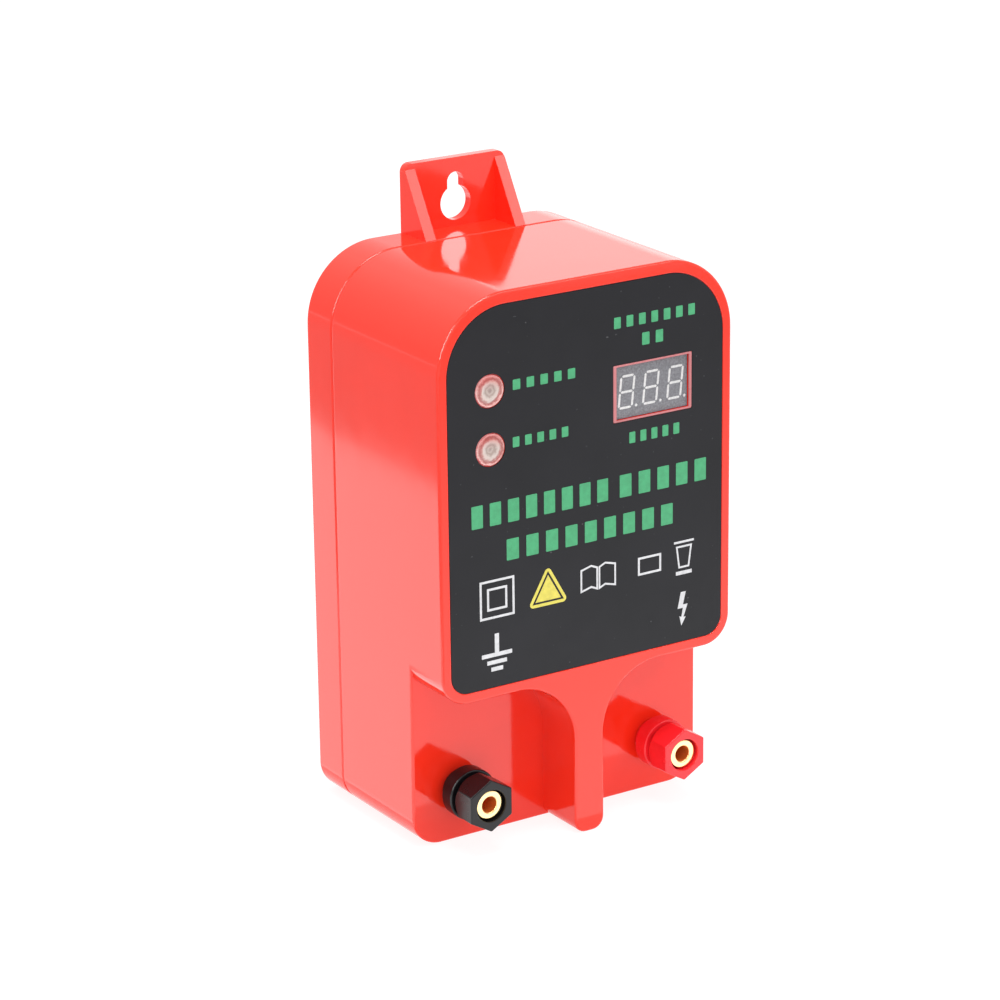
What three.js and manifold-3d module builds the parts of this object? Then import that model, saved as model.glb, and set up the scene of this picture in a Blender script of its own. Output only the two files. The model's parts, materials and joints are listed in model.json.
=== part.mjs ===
// Wall-hung electric fence energizer.
//
// Millimetres, +Z up. X runs across the face, the face looks along -Y, and the wall is on the +Y side.
// The origin is at the middle of the model's box, at the height of its underside.

import * as THREE from 'three';
import { mergeVertices } from 'three/addons/utils/BufferGeometryUtils.js';
import Module from 'manifold-3d';

// ---------------------------------------------------------------- driving dimensions

const BODY_WIDTH = 90;
const BODY_DEPTH = 65;
const BODY_HEIGHT = 152;
const WALL = 2.8;
const GAP = 0.3; // clearance between pieces that touch on the real thing

const CROWN_RADIUS = 20.4; // upper corners of the body, seen from the front
const FOOT_RADIUS = 8.5; // lower corners of the body
const BLOCK_FLOOR = 44.4; // underside of the deep upper block
const BLOCK_RADIUS = 8; // lower corners of the deep upper block
const BAY_DEPTH = 15.8; // how far the terminal bays are cut back
const RIB_HALF = 4.55; // half the width of the rib between the bays
const RIB_FOOT_RADIUS = 3.5;
const FLARE_RADIUS = 17.5; // hollow curve from the rib into the block
const COVER_DEPTH = 13;

const FRONT_Y = -BODY_DEPTH / 2;
const REAR_Y = BODY_DEPTH / 2;
const BAY_Y = FRONT_Y + BAY_DEPTH;
const SEAM_Y = REAR_Y - COVER_DEPTH;
const HOUSING_END_Y = SEAM_Y - GAP / 2;
const COVER_START_Y = SEAM_Y + GAP / 2;
const OVERRUN = 1; // how far a cutter runs past the face that it opens

const TAB = { half: 15.5, top: 170.6, thickness: 2.6, corner: 2.4, gusset: 3.1, gussetTop: 170 };
const KEYHOLE = { z: 158.4, radius: 4.7, slotRadius: 2.5, slotZ: 164.2 };

const LABEL = { half: 42.2, bottom: 47.3, top: 148.6, crown: 17.4, foot: 5, thickness: 0.3, recess: 0.5 };
const DISPLAY = { x: 20.15, z: 119.15, width: 22.5, height: 14, depth: 8, sunk: 0.8 };
const DISPLAY_PINS = { perRow: 6, pitch: 2.54, rowZ: 5.08, radius: 0.25 };
const LAMP = { x: -29.6, powerZ: 126.7, shockZ: 111.3, radius: 3.9, flange: 4.4, sunk: 0.3, length: 8.1 };
const LAMP_LEG = { x: 1.27, radius: 0.3 };
const LABEL_LAMP_RADIUS = 4.45;
const LABEL_WINDOW = { width: 24.8, height: 15.5 };

const COVER_SCREW = { x: 37, upperZ: 134.5, lowerZ: 32, shank: 1.35, head: 2.9, headHeight: 1.8, length: 21 };
const SLEEVE_RADIUS = 4.2; // the cover's sleeve, where it enters the front housing
const BOSS_RADIUS = 5.4;
const BOSS_END_Y = SEAM_Y - 3.3;
const SEAL = { inset: 0.9, width: 0.9, groove: 1.5, reach: 0.9 };

const BOARD = { half: 31.2, bottom: 50, top: 145, thickness: 1.6, frontY: FRONT_Y + 9.3 };
const BOARD_REAR_Y = BOARD.frontY + BOARD.thickness;
const BOARD_SCREW = { x: 28, lowerZ: 54.5, upperZ: 140.5, shank: 1, head: 2.3, post: 3, length: 6.5 };
const LEAD_END_Y = BOARD_REAR_Y + 0.8; // how far component legs stand out behind the board

const TERMINAL = { x: 30.7, z: 14.5, wallHole: 5 };
const POST = { bore: 2.1, boreDepth: 12, thread: 2.6, ring: 3.9, ringHeight: 1.2, tip: -14.8, tail: 12 };
const KNOB = { acrossFlats: 12.6, front: -15.8, rear: -7.2, bore: 4.4, insertBore: 4.1, insertDepth: 2.2 };
const COLLAR = { radius: 7, chamfer: 0.5, neck: 5.4, neckLength: 2.4, front: -6.9 };

const JACK = { y: 2, pocketRadius: 7.5, pocketDepth: 3, barrel: 3.9, bore: 2.8, mouth: 0.6, top: 17 };

const PULSE = { z: 74, width: 42, height: 35, stack: 18, leg: 14, windowWidth: 7, windowHeight: 21 };
const PULSE_WINDING_OUT = 15.9; // from the middle of the core to the winding's outer face, along Y
const PULSE_Y = BOARD_REAR_Y + GAP + 16.3;

const ROUND = 20; // sides of a plain round piece
const SMALL_ROUND = 10; // sides of a small or hidden one
const CURVE_STEPS = 3; // an arc of an outline is drawn as twice this many straight steps

// ---------------------------------------------------------------- finishes

const FINISHES = {
  redShell: { color: '#e8382f', roughness: 0.28, metalness: 0 },
  redKnob: { color: '#d8202a', roughness: 0.35, metalness: 0 },
  blackPlastic: { color: '#2c2a2c', roughness: 0.42, metalness: 0 },
  blackLabel: { color: '#323337', roughness: 0.5, metalness: 0 },
  clearLens: { color: '#e9dcd8', roughness: 0.12, metalness: 0 },
  displayGrey: { color: '#8f8f94', roughness: 0.45, metalness: 0 },
  rubber: { color: '#3a3a3c', roughness: 0.8, metalness: 0 },
  brass: { color: '#d9b45a', roughness: 0.25, metalness: 1 },
  nickel: { color: '#b9bcc0', roughness: 0.3, metalness: 1 },
  zincSteel: { color: '#a9adb3', roughness: 0.4, metalness: 1 },
  boardGreen: { color: '#1f5d3c', roughness: 0.5, metalness: 0 },
  lamination: { color: '#55575b', roughness: 0.55, metalness: 0.8 },
  nylon: { color: '#e6e2d4', roughness: 0.5, metalness: 0 },
  copper: { color: '#b5682f', roughness: 0.4, metalness: 0.8 },
  capacitorGrey: { color: '#7d8790', roughness: 0.5, metalness: 0 },
  ferrite: { color: '#3a3c40', roughness: 0.7, metalness: 0 },
  tapeYellow: { color: '#d9b93a', roughness: 0.45, metalness: 0 },
  sleeveBlue: { color: '#274a86', roughness: 0.4, metalness: 0 },
  aluminium: { color: '#c3c6ca', roughness: 0.35, metalness: 1 },
  chipBlack: { color: '#1f2023', roughness: 0.55, metalness: 0 },
  resistorTan: { color: '#c9a878', roughness: 0.5, metalness: 0 },
  redWire: { color: '#c4262a', roughness: 0.5, metalness: 0 },
  blackWire: { color: '#232326', roughness: 0.5, metalness: 0 },
};

// ---------------------------------------------------------------- solids from three.js geometry

const wasm = await Module();
wasm.setup();

/** Six times the signed volume, which is negative when the faces point inwards. */
function signedVolume(positions, triangles) {
  const a = new THREE.Vector3();
  const b = new THREE.Vector3();
  const c = new THREE.Vector3();
  let sum = 0;
  for (let i = 0; i < triangles.length; i += 3) {
    a.fromArray(positions, 3 * triangles[i]);
    b.fromArray(positions, 3 * triangles[i + 1]);
    c.fromArray(positions, 3 * triangles[i + 2]);
    sum += a.dot(b.cross(c));
  }
  return sum;
}

/** A closed three.js geometry as a solid that can be joined to others and cut by them. */
function solid(geometry) {
  geometry.deleteAttribute('normal');
  geometry.deleteAttribute('uv');
  const merged = mergeVertices(geometry, 1e-4);
  const positions = merged.attributes.position.array;
  const corners = merged.index.array;
  const triangles = [];
  for (let i = 0; i < corners.length; i += 3) {
    const [a, b, c] = corners.slice(i, i + 3);
    const collapsed = a === b || b === c || c === a;
    if (!collapsed) triangles.push(a, b, c);
  }
  if (signedVolume(positions, triangles) < 0) triangles.reverse();
  const mesh = new wasm.Mesh({
    numProp: 3,
    vertProperties: new Float32Array(positions),
    triVerts: new Uint32Array(triangles),
  });
  return new wasm.Manifold(mesh);
}

function join(first, ...others) {
  return others.reduce((sum, other) => sum.add(other), first);
}

function cut(first, ...others) {
  return others.reduce((rest, other) => rest.subtract(other), first);
}

/** A named mesh with its own material, from a solid. */
function piece(name, body, finish) {
  const { vertProperties, triVerts } = body.getMesh();
  const geometry = new THREE.BufferGeometry();
  geometry.setAttribute('position', new THREE.BufferAttribute(new Float32Array(vertProperties), 3));
  geometry.setIndex(new THREE.BufferAttribute(new Uint32Array(triVerts), 1));
  geometry.computeVertexNormals();
  const mesh = new THREE.Mesh(geometry, new THREE.MeshStandardMaterial(FINISHES[finish]));
  mesh.name = name;
  return mesh;
}

/** An outline in X and Z, pushed along Y. */
function prismY(outline, fromY, toY) {
  const options = { depth: toY - fromY, bevelEnabled: false, curveSegments: CURVE_STEPS };
  const geometry = new THREE.ExtrudeGeometry(outline, options);
  geometry.rotateX(Math.PI / 2);
  geometry.translate(0, toY, 0);
  return solid(geometry);
}

/** An outline in X and Y, pushed along Z. */
function prismZ(outline, fromZ, toZ) {
  const options = { depth: toZ - fromZ, bevelEnabled: false, curveSegments: CURVE_STEPS };
  const geometry = new THREE.ExtrudeGeometry(outline, options);
  geometry.translate(0, 0, fromZ);
  return solid(geometry);
}

/** An outline in Y and Z, pushed along X. */
function prismX(outline, fromX, toX) {
  const options = { depth: toX - fromX, bevelEnabled: false, curveSegments: CURVE_STEPS };
  const geometry = new THREE.ExtrudeGeometry(outline, options);
  const turn = new THREE.Matrix4().makeBasis(
    new THREE.Vector3(0, 1, 0),
    new THREE.Vector3(0, 0, 1),
    new THREE.Vector3(1, 0, 0),
  );
  geometry.applyMatrix4(turn);
  geometry.translate(fromX, 0, 0);
  return solid(geometry);
}

function box(x, y, z, width, depth, height) {
  const geometry = new THREE.BoxGeometry(width, depth, height);
  geometry.translate(x, y, z);
  return solid(geometry);
}

function rodY(x, z, radius, fromY, toY, sides = ROUND) {
  const geometry = new THREE.CylinderGeometry(radius, radius, toY - fromY, sides);
  geometry.translate(x, (fromY + toY) / 2, z);
  return solid(geometry);
}

function rodZ(x, y, radius, fromZ, toZ, sides = ROUND) {
  const geometry = new THREE.CylinderGeometry(radius, radius, toZ - fromZ, sides);
  geometry.rotateX(Math.PI / 2);
  geometry.translate(x, y, (fromZ + toZ) / 2);
  return solid(geometry);
}

/** A turned piece about the Y axis, from [radius, y] points. */
function turnedY(profile, sides = ROUND) {
  const points = profile.map(([radius, y]) => new THREE.Vector2(radius, y));
  return solid(new THREE.LatheGeometry(points, sides));
}

/** A turned piece about the Z axis, from [radius, z] points. */
function turnedZ(profile, sides = ROUND) {
  const points = profile.map(([radius, z]) => new THREE.Vector2(radius, z));
  const geometry = new THREE.LatheGeometry(points, sides);
  geometry.rotateX(Math.PI / 2);
  return solid(geometry);
}

/** A six-sided prism along Y with two corners up and down. */
function hexY(acrossFlats, fromY, toY) {
  const radius = acrossFlats / Math.sqrt(3);
  const geometry = new THREE.CylinderGeometry(radius, radius, toY - fromY, 6);
  geometry.translate(0, (fromY + toY) / 2, 0);
  return solid(geometry);
}

/** A six-sided wire through hand-placed points. */
function wire(points, radius, steps) {
  const section = new THREE.Shape();
  section.absarc(0, 0, radius, 0, 2 * Math.PI);
  const path = new THREE.CatmullRomCurve3(points.map(([x, y, z]) => new THREE.Vector3(x, y, z)));
  return solid(new THREE.ExtrudeGeometry(section, { steps, curveSegments: 3, extrudePath: path }));
}

// ---------------------------------------------------------------- outlines seen from the front

/** An upright panel with larger corners at the top than at the bottom. */
function panelOutline(half, bottom, top, crown, foot) {
  const outline = new THREE.Shape();
  outline.absarc(half - foot, bottom + foot, foot, -Math.PI / 2, 0);
  outline.absarc(half - crown, top - crown, crown, 0, Math.PI / 2);
  outline.absarc(crown - half, top - crown, crown, Math.PI / 2, Math.PI);
  outline.absarc(foot - half, bottom + foot, foot, Math.PI, 1.5 * Math.PI);
  return outline;
}

function bodyOutline(inset) {
  const half = BODY_WIDTH / 2 - inset;
  return panelOutline(half, inset, BODY_HEIGHT - inset, CROWN_RADIUS - inset, FOOT_RADIUS - inset);
}

/** The deep block with the rib that hangs from it, flared on both sides. */
function blockOutline(inset) {
  const half = BODY_WIDTH / 2 - inset;
  const top = BODY_HEIGHT - inset;
  const crown = CROWN_RADIUS - inset;
  const floor = BLOCK_FLOOR + inset;
  const corner = BLOCK_RADIUS - inset;
  const rib = RIB_HALF - inset;
  const foot = RIB_FOOT_RADIUS - inset;
  const flare = FLARE_RADIUS + inset;
  const flareX = RIB_HALF + FLARE_RADIUS;
  const flareZ = BLOCK_FLOOR - FLARE_RADIUS;
  const outline = new THREE.Shape();
  outline.absarc(rib - foot, inset + foot, foot, -Math.PI / 2, 0);
  outline.absarc(flareX, flareZ, flare, Math.PI, Math.PI / 2, true);
  outline.absarc(half - corner, floor + corner, corner, -Math.PI / 2, 0);
  outline.absarc(half - crown, top - crown, crown, 0, Math.PI / 2);
  outline.absarc(crown - half, top - crown, crown, Math.PI / 2, Math.PI);
  outline.absarc(corner - half, floor + corner, corner, Math.PI, 1.5 * Math.PI);
  outline.absarc(-flareX, flareZ, flare, Math.PI / 2, 0, true);
  outline.absarc(foot - rib, inset + foot, foot, Math.PI, 1.5 * Math.PI);
  return outline;
}

/** A band that follows the body's outline between two insets. */
function bandY(outerInset, innerInset, fromY, toY) {
  const outer = prismY(bodyOutline(outerInset), fromY, toY);
  return cut(outer, prismY(bodyOutline(innerInset), fromY - OVERRUN, toY + OVERRUN));
}

function coverScrewPlaces() {
  const { x, upperZ, lowerZ } = COVER_SCREW;
  return [
    [-x, upperZ],
    [x, upperZ],
    [-x, lowerZ],
    [x, lowerZ],
  ];
}

function boardScrewPlaces() {
  const { x, upperZ, lowerZ } = BOARD_SCREW;
  return [
    [-x, upperZ],
    [x, upperZ],
    [-x, lowerZ],
    [x, lowerZ],
  ];
}

// ---------------------------------------------------------------- housing

function housingShell() {
  const outer = join(
    prismY(bodyOutline(0), BAY_Y, HOUSING_END_Y),
    prismY(blockOutline(0), FRONT_Y, BAY_Y + OVERRUN),
  );
  return cut(
    outer,
    prismY(bodyOutline(WALL), BAY_Y + WALL, HOUSING_END_Y + OVERRUN),
    prismY(blockOutline(WALL), FRONT_Y + WALL, BAY_Y + WALL + OVERRUN),
  );
}

/** Screw bosses, board posts and the thick seat of the supply jack, all inside the shell. */
function housingInnerParts() {
  const parts = [];
  for (const [x, z] of coverScrewPlaces()) {
    const startY = z > BLOCK_FLOOR ? FRONT_Y : BAY_Y;
    parts.push(rodY(x, z, BOSS_RADIUS, startY + WALL / 2, BOSS_END_Y, SMALL_ROUND));
  }
  for (const [x, z] of boardScrewPlaces()) {
    parts.push(rodY(x, z, BOARD_SCREW.post, FRONT_Y + WALL / 2, BOARD.frontY - GAP, SMALL_ROUND));
  }
  parts.push(rodZ(0, JACK.y, JACK.pocketRadius + 2, WALL / 2, JACK.pocketDepth + WALL));
  return parts;
}

function housingCuts() {
  const labelOutline = panelOutline(
    LABEL.half + GAP / 2,
    LABEL.bottom - GAP / 2,
    LABEL.top + GAP / 2,
    LABEL.crown,
    LABEL.foot,
  );
  const windowWidth = DISPLAY.width + 2 * GAP;
  const windowHeight = DISPLAY.height + 2 * GAP;
  const wallY = FRONT_Y + WALL / 2;
  const cuts = [
    prismY(labelOutline, FRONT_Y - OVERRUN, FRONT_Y + LABEL.recess),
    box(DISPLAY.x, wallY, DISPLAY.z, windowWidth, WALL + 2 * OVERRUN, windowHeight),
    rodZ(0, JACK.y, JACK.pocketRadius, -OVERRUN, JACK.pocketDepth),
    rodZ(0, JACK.y, JACK.barrel + GAP, 0, JACK.pocketDepth + WALL + OVERRUN),
  ];
  for (const z of [LAMP.powerZ, LAMP.shockZ]) {
    cuts.push(rodY(LAMP.x, z, LAMP.radius + GAP, FRONT_Y - OVERRUN, FRONT_Y + WALL + OVERRUN));
  }
  for (const side of [-1, 1]) {
    const x = side * TERMINAL.x;
    cuts.push(rodY(x, TERMINAL.z, TERMINAL.wallHole, BAY_Y - OVERRUN, BAY_Y + WALL + OVERRUN));
  }
  for (const [x, z] of coverScrewPlaces()) {
    const pilotY = REAR_Y - WALL - COVER_SCREW.length - 1;
    cuts.push(rodY(x, z, COVER_SCREW.shank + GAP, pilotY, BOSS_END_Y + OVERRUN, SMALL_ROUND));
  }
  for (const [x, z] of boardScrewPlaces()) {
    cuts.push(rodY(x, z, BOARD_SCREW.shank + GAP, FRONT_Y + WALL, BOARD.frontY, SMALL_ROUND));
  }
  return cuts;
}

function frontHousing() {
  const body = join(housingShell(), ...housingInnerParts());
  return piece('front_housing', cut(body, ...housingCuts()), 'redShell');
}

/** The hanging tab with its two gussets, standing on the cover's top. */
function hangingTab() {
  const root = BODY_HEIGHT - WALL / 2;
  const outline = () => panelOutline(TAB.half, root, TAB.top, TAB.corner, TAB.thickness / 4);
  const plate = prismY(outline(), REAR_Y - TAB.thickness, REAR_Y);
  const gusset = new THREE.Shape();
  gusset.moveTo(COVER_START_Y, root);
  gusset.lineTo(REAR_Y, root);
  gusset.lineTo(REAR_Y, TAB.gussetTop);
  gusset.lineTo(REAR_Y - TAB.thickness, TAB.gussetTop);
  gusset.lineTo(COVER_START_Y, BODY_HEIGHT);
  const gussets = join(
    prismX(gusset, -TAB.half, TAB.gusset - TAB.half),
    prismX(gusset, TAB.half - TAB.gusset, TAB.half),
  );
  return join(plate, gussets.intersect(prismY(outline(), COVER_START_Y, REAR_Y)));
}

function keyholeCutter() {
  const fromY = REAR_Y - TAB.thickness - OVERRUN;
  const toY = REAR_Y + OVERRUN;
  const slotHeight = KEYHOLE.slotZ - KEYHOLE.z;
  const slotMiddleZ = KEYHOLE.z + slotHeight / 2;
  return join(
    rodY(0, KEYHOLE.z, KEYHOLE.radius, fromY, toY),
    rodY(0, KEYHOLE.slotZ, KEYHOLE.slotRadius, fromY, toY),
    box(0, (fromY + toY) / 2, slotMiddleZ, 2 * KEYHOLE.slotRadius, toY - fromY, slotHeight),
  );
}

/** The lip that slips inside the front housing and keeps the cover in line. */
function coverLip() {
  const reach = 2.4;
  const lipThickness = 1.3;
  const outerInset = WALL + GAP;
  const innerInset = outerInset + lipThickness;
  return join(
    bandY(outerInset, innerInset, COVER_START_Y - reach, COVER_START_Y + WALL),
    bandY(WALL / 2, innerInset, COVER_START_Y + SEAL.reach + GAP, COVER_START_Y + WALL),
  );
}

function rearCover() {
  const shell = cut(
    prismY(bodyOutline(0), COVER_START_Y, REAR_Y),
    prismY(bodyOutline(WALL), COVER_START_Y - OVERRUN, REAR_Y - WALL),
  );
  const sleeves = [];
  const holes = [];
  for (const [x, z] of coverScrewPlaces()) {
    sleeves.push(rodY(x, z, BOSS_RADIUS, COVER_START_Y, REAR_Y - WALL / 2, SMALL_ROUND));
    sleeves.push(rodY(x, z, SLEEVE_RADIUS, BOSS_END_Y + GAP, COVER_START_Y + OVERRUN, SMALL_ROUND));
    holes.push(rodY(x, z, COVER_SCREW.shank + 0.4, BOSS_END_Y, REAR_Y, SMALL_ROUND));
    holes.push(rodY(x, z, COVER_SCREW.head + 0.6, REAR_Y - WALL - GAP, REAR_Y + OVERRUN));
  }
  const sealGroove = bandY(
    SEAL.inset,
    SEAL.inset + SEAL.groove,
    COVER_START_Y - OVERRUN,
    COVER_START_Y + SEAL.reach + GAP,
  );
  const body = join(shell, coverLip(), hangingTab(), ...sleeves);
  return piece('rear_cover', cut(body, keyholeCutter(), sealGroove, ...holes), 'redShell');
}

function housingSeal() {
  const outerInset = SEAL.inset + GAP;
  const band = bandY(outerInset, outerInset + SEAL.width, SEAM_Y, COVER_START_Y + SEAL.reach);
  return piece('housing_seal', band, 'rubber');
}

/** A self-tapping screw along Y: head at the +Y end, point towards -Y, underside of the head at y = 0. */
function screwBody({ shank, head, headHeight, length }) {
  const turned = turnedY(
    [
      [0, -length],
      [shank, shank * 1.5 - length],
      [shank, 0],
      [head, 0],
      [head, headHeight * 0.45],
      [head * 0.62, headHeight],
      [0, headHeight],
    ],
    SMALL_ROUND,
  );
  const slotDepth = headHeight * 0.55;
  const slotY = headHeight - slotDepth / 2 + OVERRUN / 2;
  const slotLong = head * 1.1;
  const slotWide = head * 0.28;
  return cut(
    turned,
    box(0, slotY, 0, slotLong, slotDepth + OVERRUN, slotWide),
    box(0, slotY, 0, slotWide, slotDepth + OVERRUN, slotLong),
  );
}

function coverScrews() {
  return coverScrewPlaces().map(([x, z], index) => {
    const screw = piece(`cover_screw_${index + 1}`, screwBody(COVER_SCREW), 'zincSteel');
    screw.position.set(x, REAR_Y - WALL, z);
    return screw;
  });
}

// ---------------------------------------------------------------- face: label, lamps and display

function frontLabel() {
  const rearY = FRONT_Y + LABEL.recess - 0.1;
  const frontY = rearY - LABEL.thickness;
  const sheet = prismY(
    panelOutline(LABEL.half, LABEL.bottom, LABEL.top, LABEL.crown, LABEL.foot),
    frontY,
    rearY,
  );
  const middleY = (frontY + rearY) / 2;
  const cuts = [
    box(DISPLAY.x, middleY, DISPLAY.z, LABEL_WINDOW.width, LABEL.thickness + OVERRUN, LABEL_WINDOW.height),
  ];
  for (const z of [LAMP.powerZ, LAMP.shockZ]) {
    cuts.push(rodY(LAMP.x, z, LABEL_LAMP_RADIUS, frontY - OVERRUN, rearY + OVERRUN));
  }
  return piece('front_label', cut(sheet, ...cuts), 'blackLabel');
}

/** A clear round lamp with its flange and two legs, which go through the board. */
function lamp(name, z) {
  const tipY = FRONT_Y + LAMP.sunk;
  const baseY = tipY + LAMP.length;
  const shoulderY = tipY + 1.6;
  const flangeY = baseY - 1.2;
  const lens = turnedY([
    [0, tipY],
    [LAMP.radius * 0.55, tipY + 0.3],
    [LAMP.radius * 0.87, tipY + 0.85],
    [LAMP.radius, shoulderY],
    [LAMP.radius, flangeY],
    [LAMP.flange, flangeY],
    [LAMP.flange, baseY],
    [0, baseY],
  ]);
  const legs = [-LAMP_LEG.x, LAMP_LEG.x].map((x) => {
    return rodY(x, 0, LAMP_LEG.radius, baseY - OVERRUN, LEAD_END_Y, 6);
  });
  const mesh = piece(name, join(lens, ...legs), 'clearLens');
  mesh.position.set(LAMP.x, 0, z);
  return mesh;
}

function displayPinPlaces() {
  const places = [];
  for (const row of [-1, 1]) {
    for (let i = 0; i < DISPLAY_PINS.perRow; i += 1) {
      const across = (i - (DISPLAY_PINS.perRow - 1) / 2) * DISPLAY_PINS.pitch;
      places.push([across, row * DISPLAY_PINS.rowZ]);
    }
  }
  return places;
}

function displayModule() {
  const faceY = FRONT_Y + DISPLAY.sunk;
  const backY = faceY + DISPLAY.depth - 0.4;
  const block = box(0, (faceY + backY) / 2, 0, DISPLAY.width, backY - faceY, DISPLAY.height);
  const pins = displayPinPlaces().map(([x, z]) => {
    return rodY(x, z, DISPLAY_PINS.radius, backY - OVERRUN, LEAD_END_Y, 4);
  });
  const mesh = piece('display_module', join(block, ...pins), 'displayGrey');
  mesh.position.set(DISPLAY.x, 0, DISPLAY.z);
  return mesh;
}

// ---------------------------------------------------------------- terminals

/** One binding post with everything on it. Its group's y = 0 is the floor of the bay. */
function terminal(prefix, side, knobFinish) {
  const hole = POST.thread + GAP;
  const post = turnedY([
    [0, POST.tip + POST.boreDepth],
    [POST.bore, POST.tip + POST.boreDepth],
    [POST.bore, POST.tip + 0.4],
    [POST.bore + 0.35, POST.tip],
    [POST.ring - 0.3, POST.tip],
    [POST.ring, POST.tip + 0.3],
    [POST.ring, POST.tip + POST.ringHeight],
    [POST.thread, POST.tip + POST.ringHeight],
    [POST.thread, POST.tail],
    [0, POST.tail],
  ]);
  const collar = turnedY([
    [hole, -GAP],
    [COLLAR.neck, -GAP],
    [COLLAR.neck, -COLLAR.neckLength],
    [COLLAR.radius - COLLAR.chamfer, -COLLAR.neckLength],
    [COLLAR.radius, -COLLAR.neckLength - COLLAR.chamfer],
    [COLLAR.radius, COLLAR.front + COLLAR.chamfer],
    [COLLAR.radius - COLLAR.chamfer, COLLAR.front],
    [hole, COLLAR.front],
    [hole, -GAP],
  ]);
  const bush = turnedY([
    [hole, GAP],
    [TERMINAL.wallHole - GAP, GAP],
    [TERMINAL.wallHole - GAP, WALL + GAP],
    [TERMINAL.wallHole + 1.5, WALL + GAP],
    [TERMINAL.wallHole + 1.5, WALL + 2],
    [hole, WALL + 2],
    [hole, GAP],
  ], SMALL_ROUND);
  const lugY = WALL + 2 + GAP;
  const lugThickness = 0.8;
  const lug = cut(
    join(
      rodY(0, 0, 4.6, lugY, lugY + lugThickness, SMALL_ROUND),
      box(0, lugY + lugThickness / 2, 6.6, 3.2, lugThickness, 6.8),
    ),
    rodY(0, 0, hole, lugY - OVERRUN, lugY + lugThickness + OVERRUN, SMALL_ROUND),
  );
  const nutY = lugY + lugThickness + GAP;
  const nutEnd = nutY + 3.5;
  const nut = cut(hexY(8, nutY, nutEnd), rodY(0, 0, hole, nutY - OVERRUN, nutEnd + OVERRUN, SMALL_ROUND));
  const group = new THREE.Group();
  group.position.set(side * TERMINAL.x, BAY_Y, TERMINAL.z);
  group.add(
    piece(`${prefix}_terminal_post`, post, 'brass'),
    piece(`${prefix}_terminal_collar`, collar, knobFinish),
    piece(`${prefix}_terminal_knob`, knobBody(), knobFinish),
    piece(`${prefix}_knob_insert`, knobInsertBody(hole), 'brass'),
    piece(`${prefix}_terminal_bush`, bush, 'blackPlastic'),
    piece(`${prefix}_terminal_lug`, lug, 'nickel'),
    piece(`${prefix}_terminal_nut`, nut, 'nickel'),
  );
  return group;
}

/** The six-sided knob, rounded off at the back and bored for the post's ring and for its insert. */
function knobBody() {
  const corner = KNOB.acrossFlats / Math.sqrt(3);
  const flat = KNOB.acrossFlats / 2;
  const envelope = turnedY([
    [0, KNOB.front],
    [corner - 0.15, KNOB.front],
    [corner + 0.2, KNOB.front + 0.35],
    [corner + 0.2, KNOB.rear - 2.3],
    [flat + 0.25, KNOB.rear - 1.2],
    [flat - 0.25, KNOB.rear - 0.4],
    [flat - 0.6, KNOB.rear],
    [0, KNOB.rear],
  ]);
  const shoulder = KNOB.rear - KNOB.insertDepth;
  return cut(
    envelope.intersect(hexY(KNOB.acrossFlats, KNOB.front - OVERRUN, KNOB.rear + OVERRUN)),
    rodY(0, 0, KNOB.bore, KNOB.front - OVERRUN, shoulder),
    rodY(0, 0, KNOB.insertBore, shoulder - OVERRUN, KNOB.rear + OVERRUN),
  );
}

function knobInsertBody(hole) {
  const outer = KNOB.insertBore - GAP;
  const front = KNOB.rear - KNOB.insertDepth + GAP;
  const rear = KNOB.rear - GAP;
  return turnedY([
    [hole, front],
    [outer, front],
    [outer, rear],
    [hole, rear],
    [hole, front],
  ], SMALL_ROUND);
}

// ---------------------------------------------------------------- supply jack in the underside

function supplyJack() {
  const flangeZ = JACK.pocketDepth + WALL + GAP;
  const boreTop = 11;
  const pinRadius = 1;
  const shell = turnedZ([
    [JACK.bore, JACK.mouth],
    [JACK.barrel, JACK.mouth],
    [JACK.barrel, flangeZ],
    [JACK.barrel + 2, flangeZ],
    [JACK.barrel + 2, flangeZ + 2],
    [JACK.barrel + 1.2, flangeZ + 2],
    [JACK.barrel + 1.2, JACK.top],
    [pinRadius + GAP, JACK.top],
    [pinRadius + GAP, boreTop],
    [JACK.bore, boreTop],
    [JACK.bore, JACK.mouth],
  ]);
  const nutTop = JACK.pocketDepth - GAP;
  const nutRadius = 6.2;
  const nut = cut(
    rodZ(0, 0, nutRadius, 1, nutTop, 6),
    rodZ(0, 0, JACK.barrel + GAP, 0, nutTop + OVERRUN),
  );
  const pin = rodZ(0, 0, pinRadius, JACK.mouth + 2, JACK.top + 3, SMALL_ROUND);
  const tag = box(3.4, 0, JACK.top + GAP + 1.5, 2, 0.6, 3);
  const group = new THREE.Group();
  group.position.set(0, JACK.y, 0);
  group.add(
    piece('supply_jack_body', shell, 'blackPlastic'),
    piece('supply_jack_nut', nut, 'nickel'),
    piece('supply_jack_pin', pin, 'nickel'),
    piece('supply_jack_sleeve_tag', tag, 'nickel'),
  );
  return group;
}

// ---------------------------------------------------------------- circuit board and what stands on it

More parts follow.
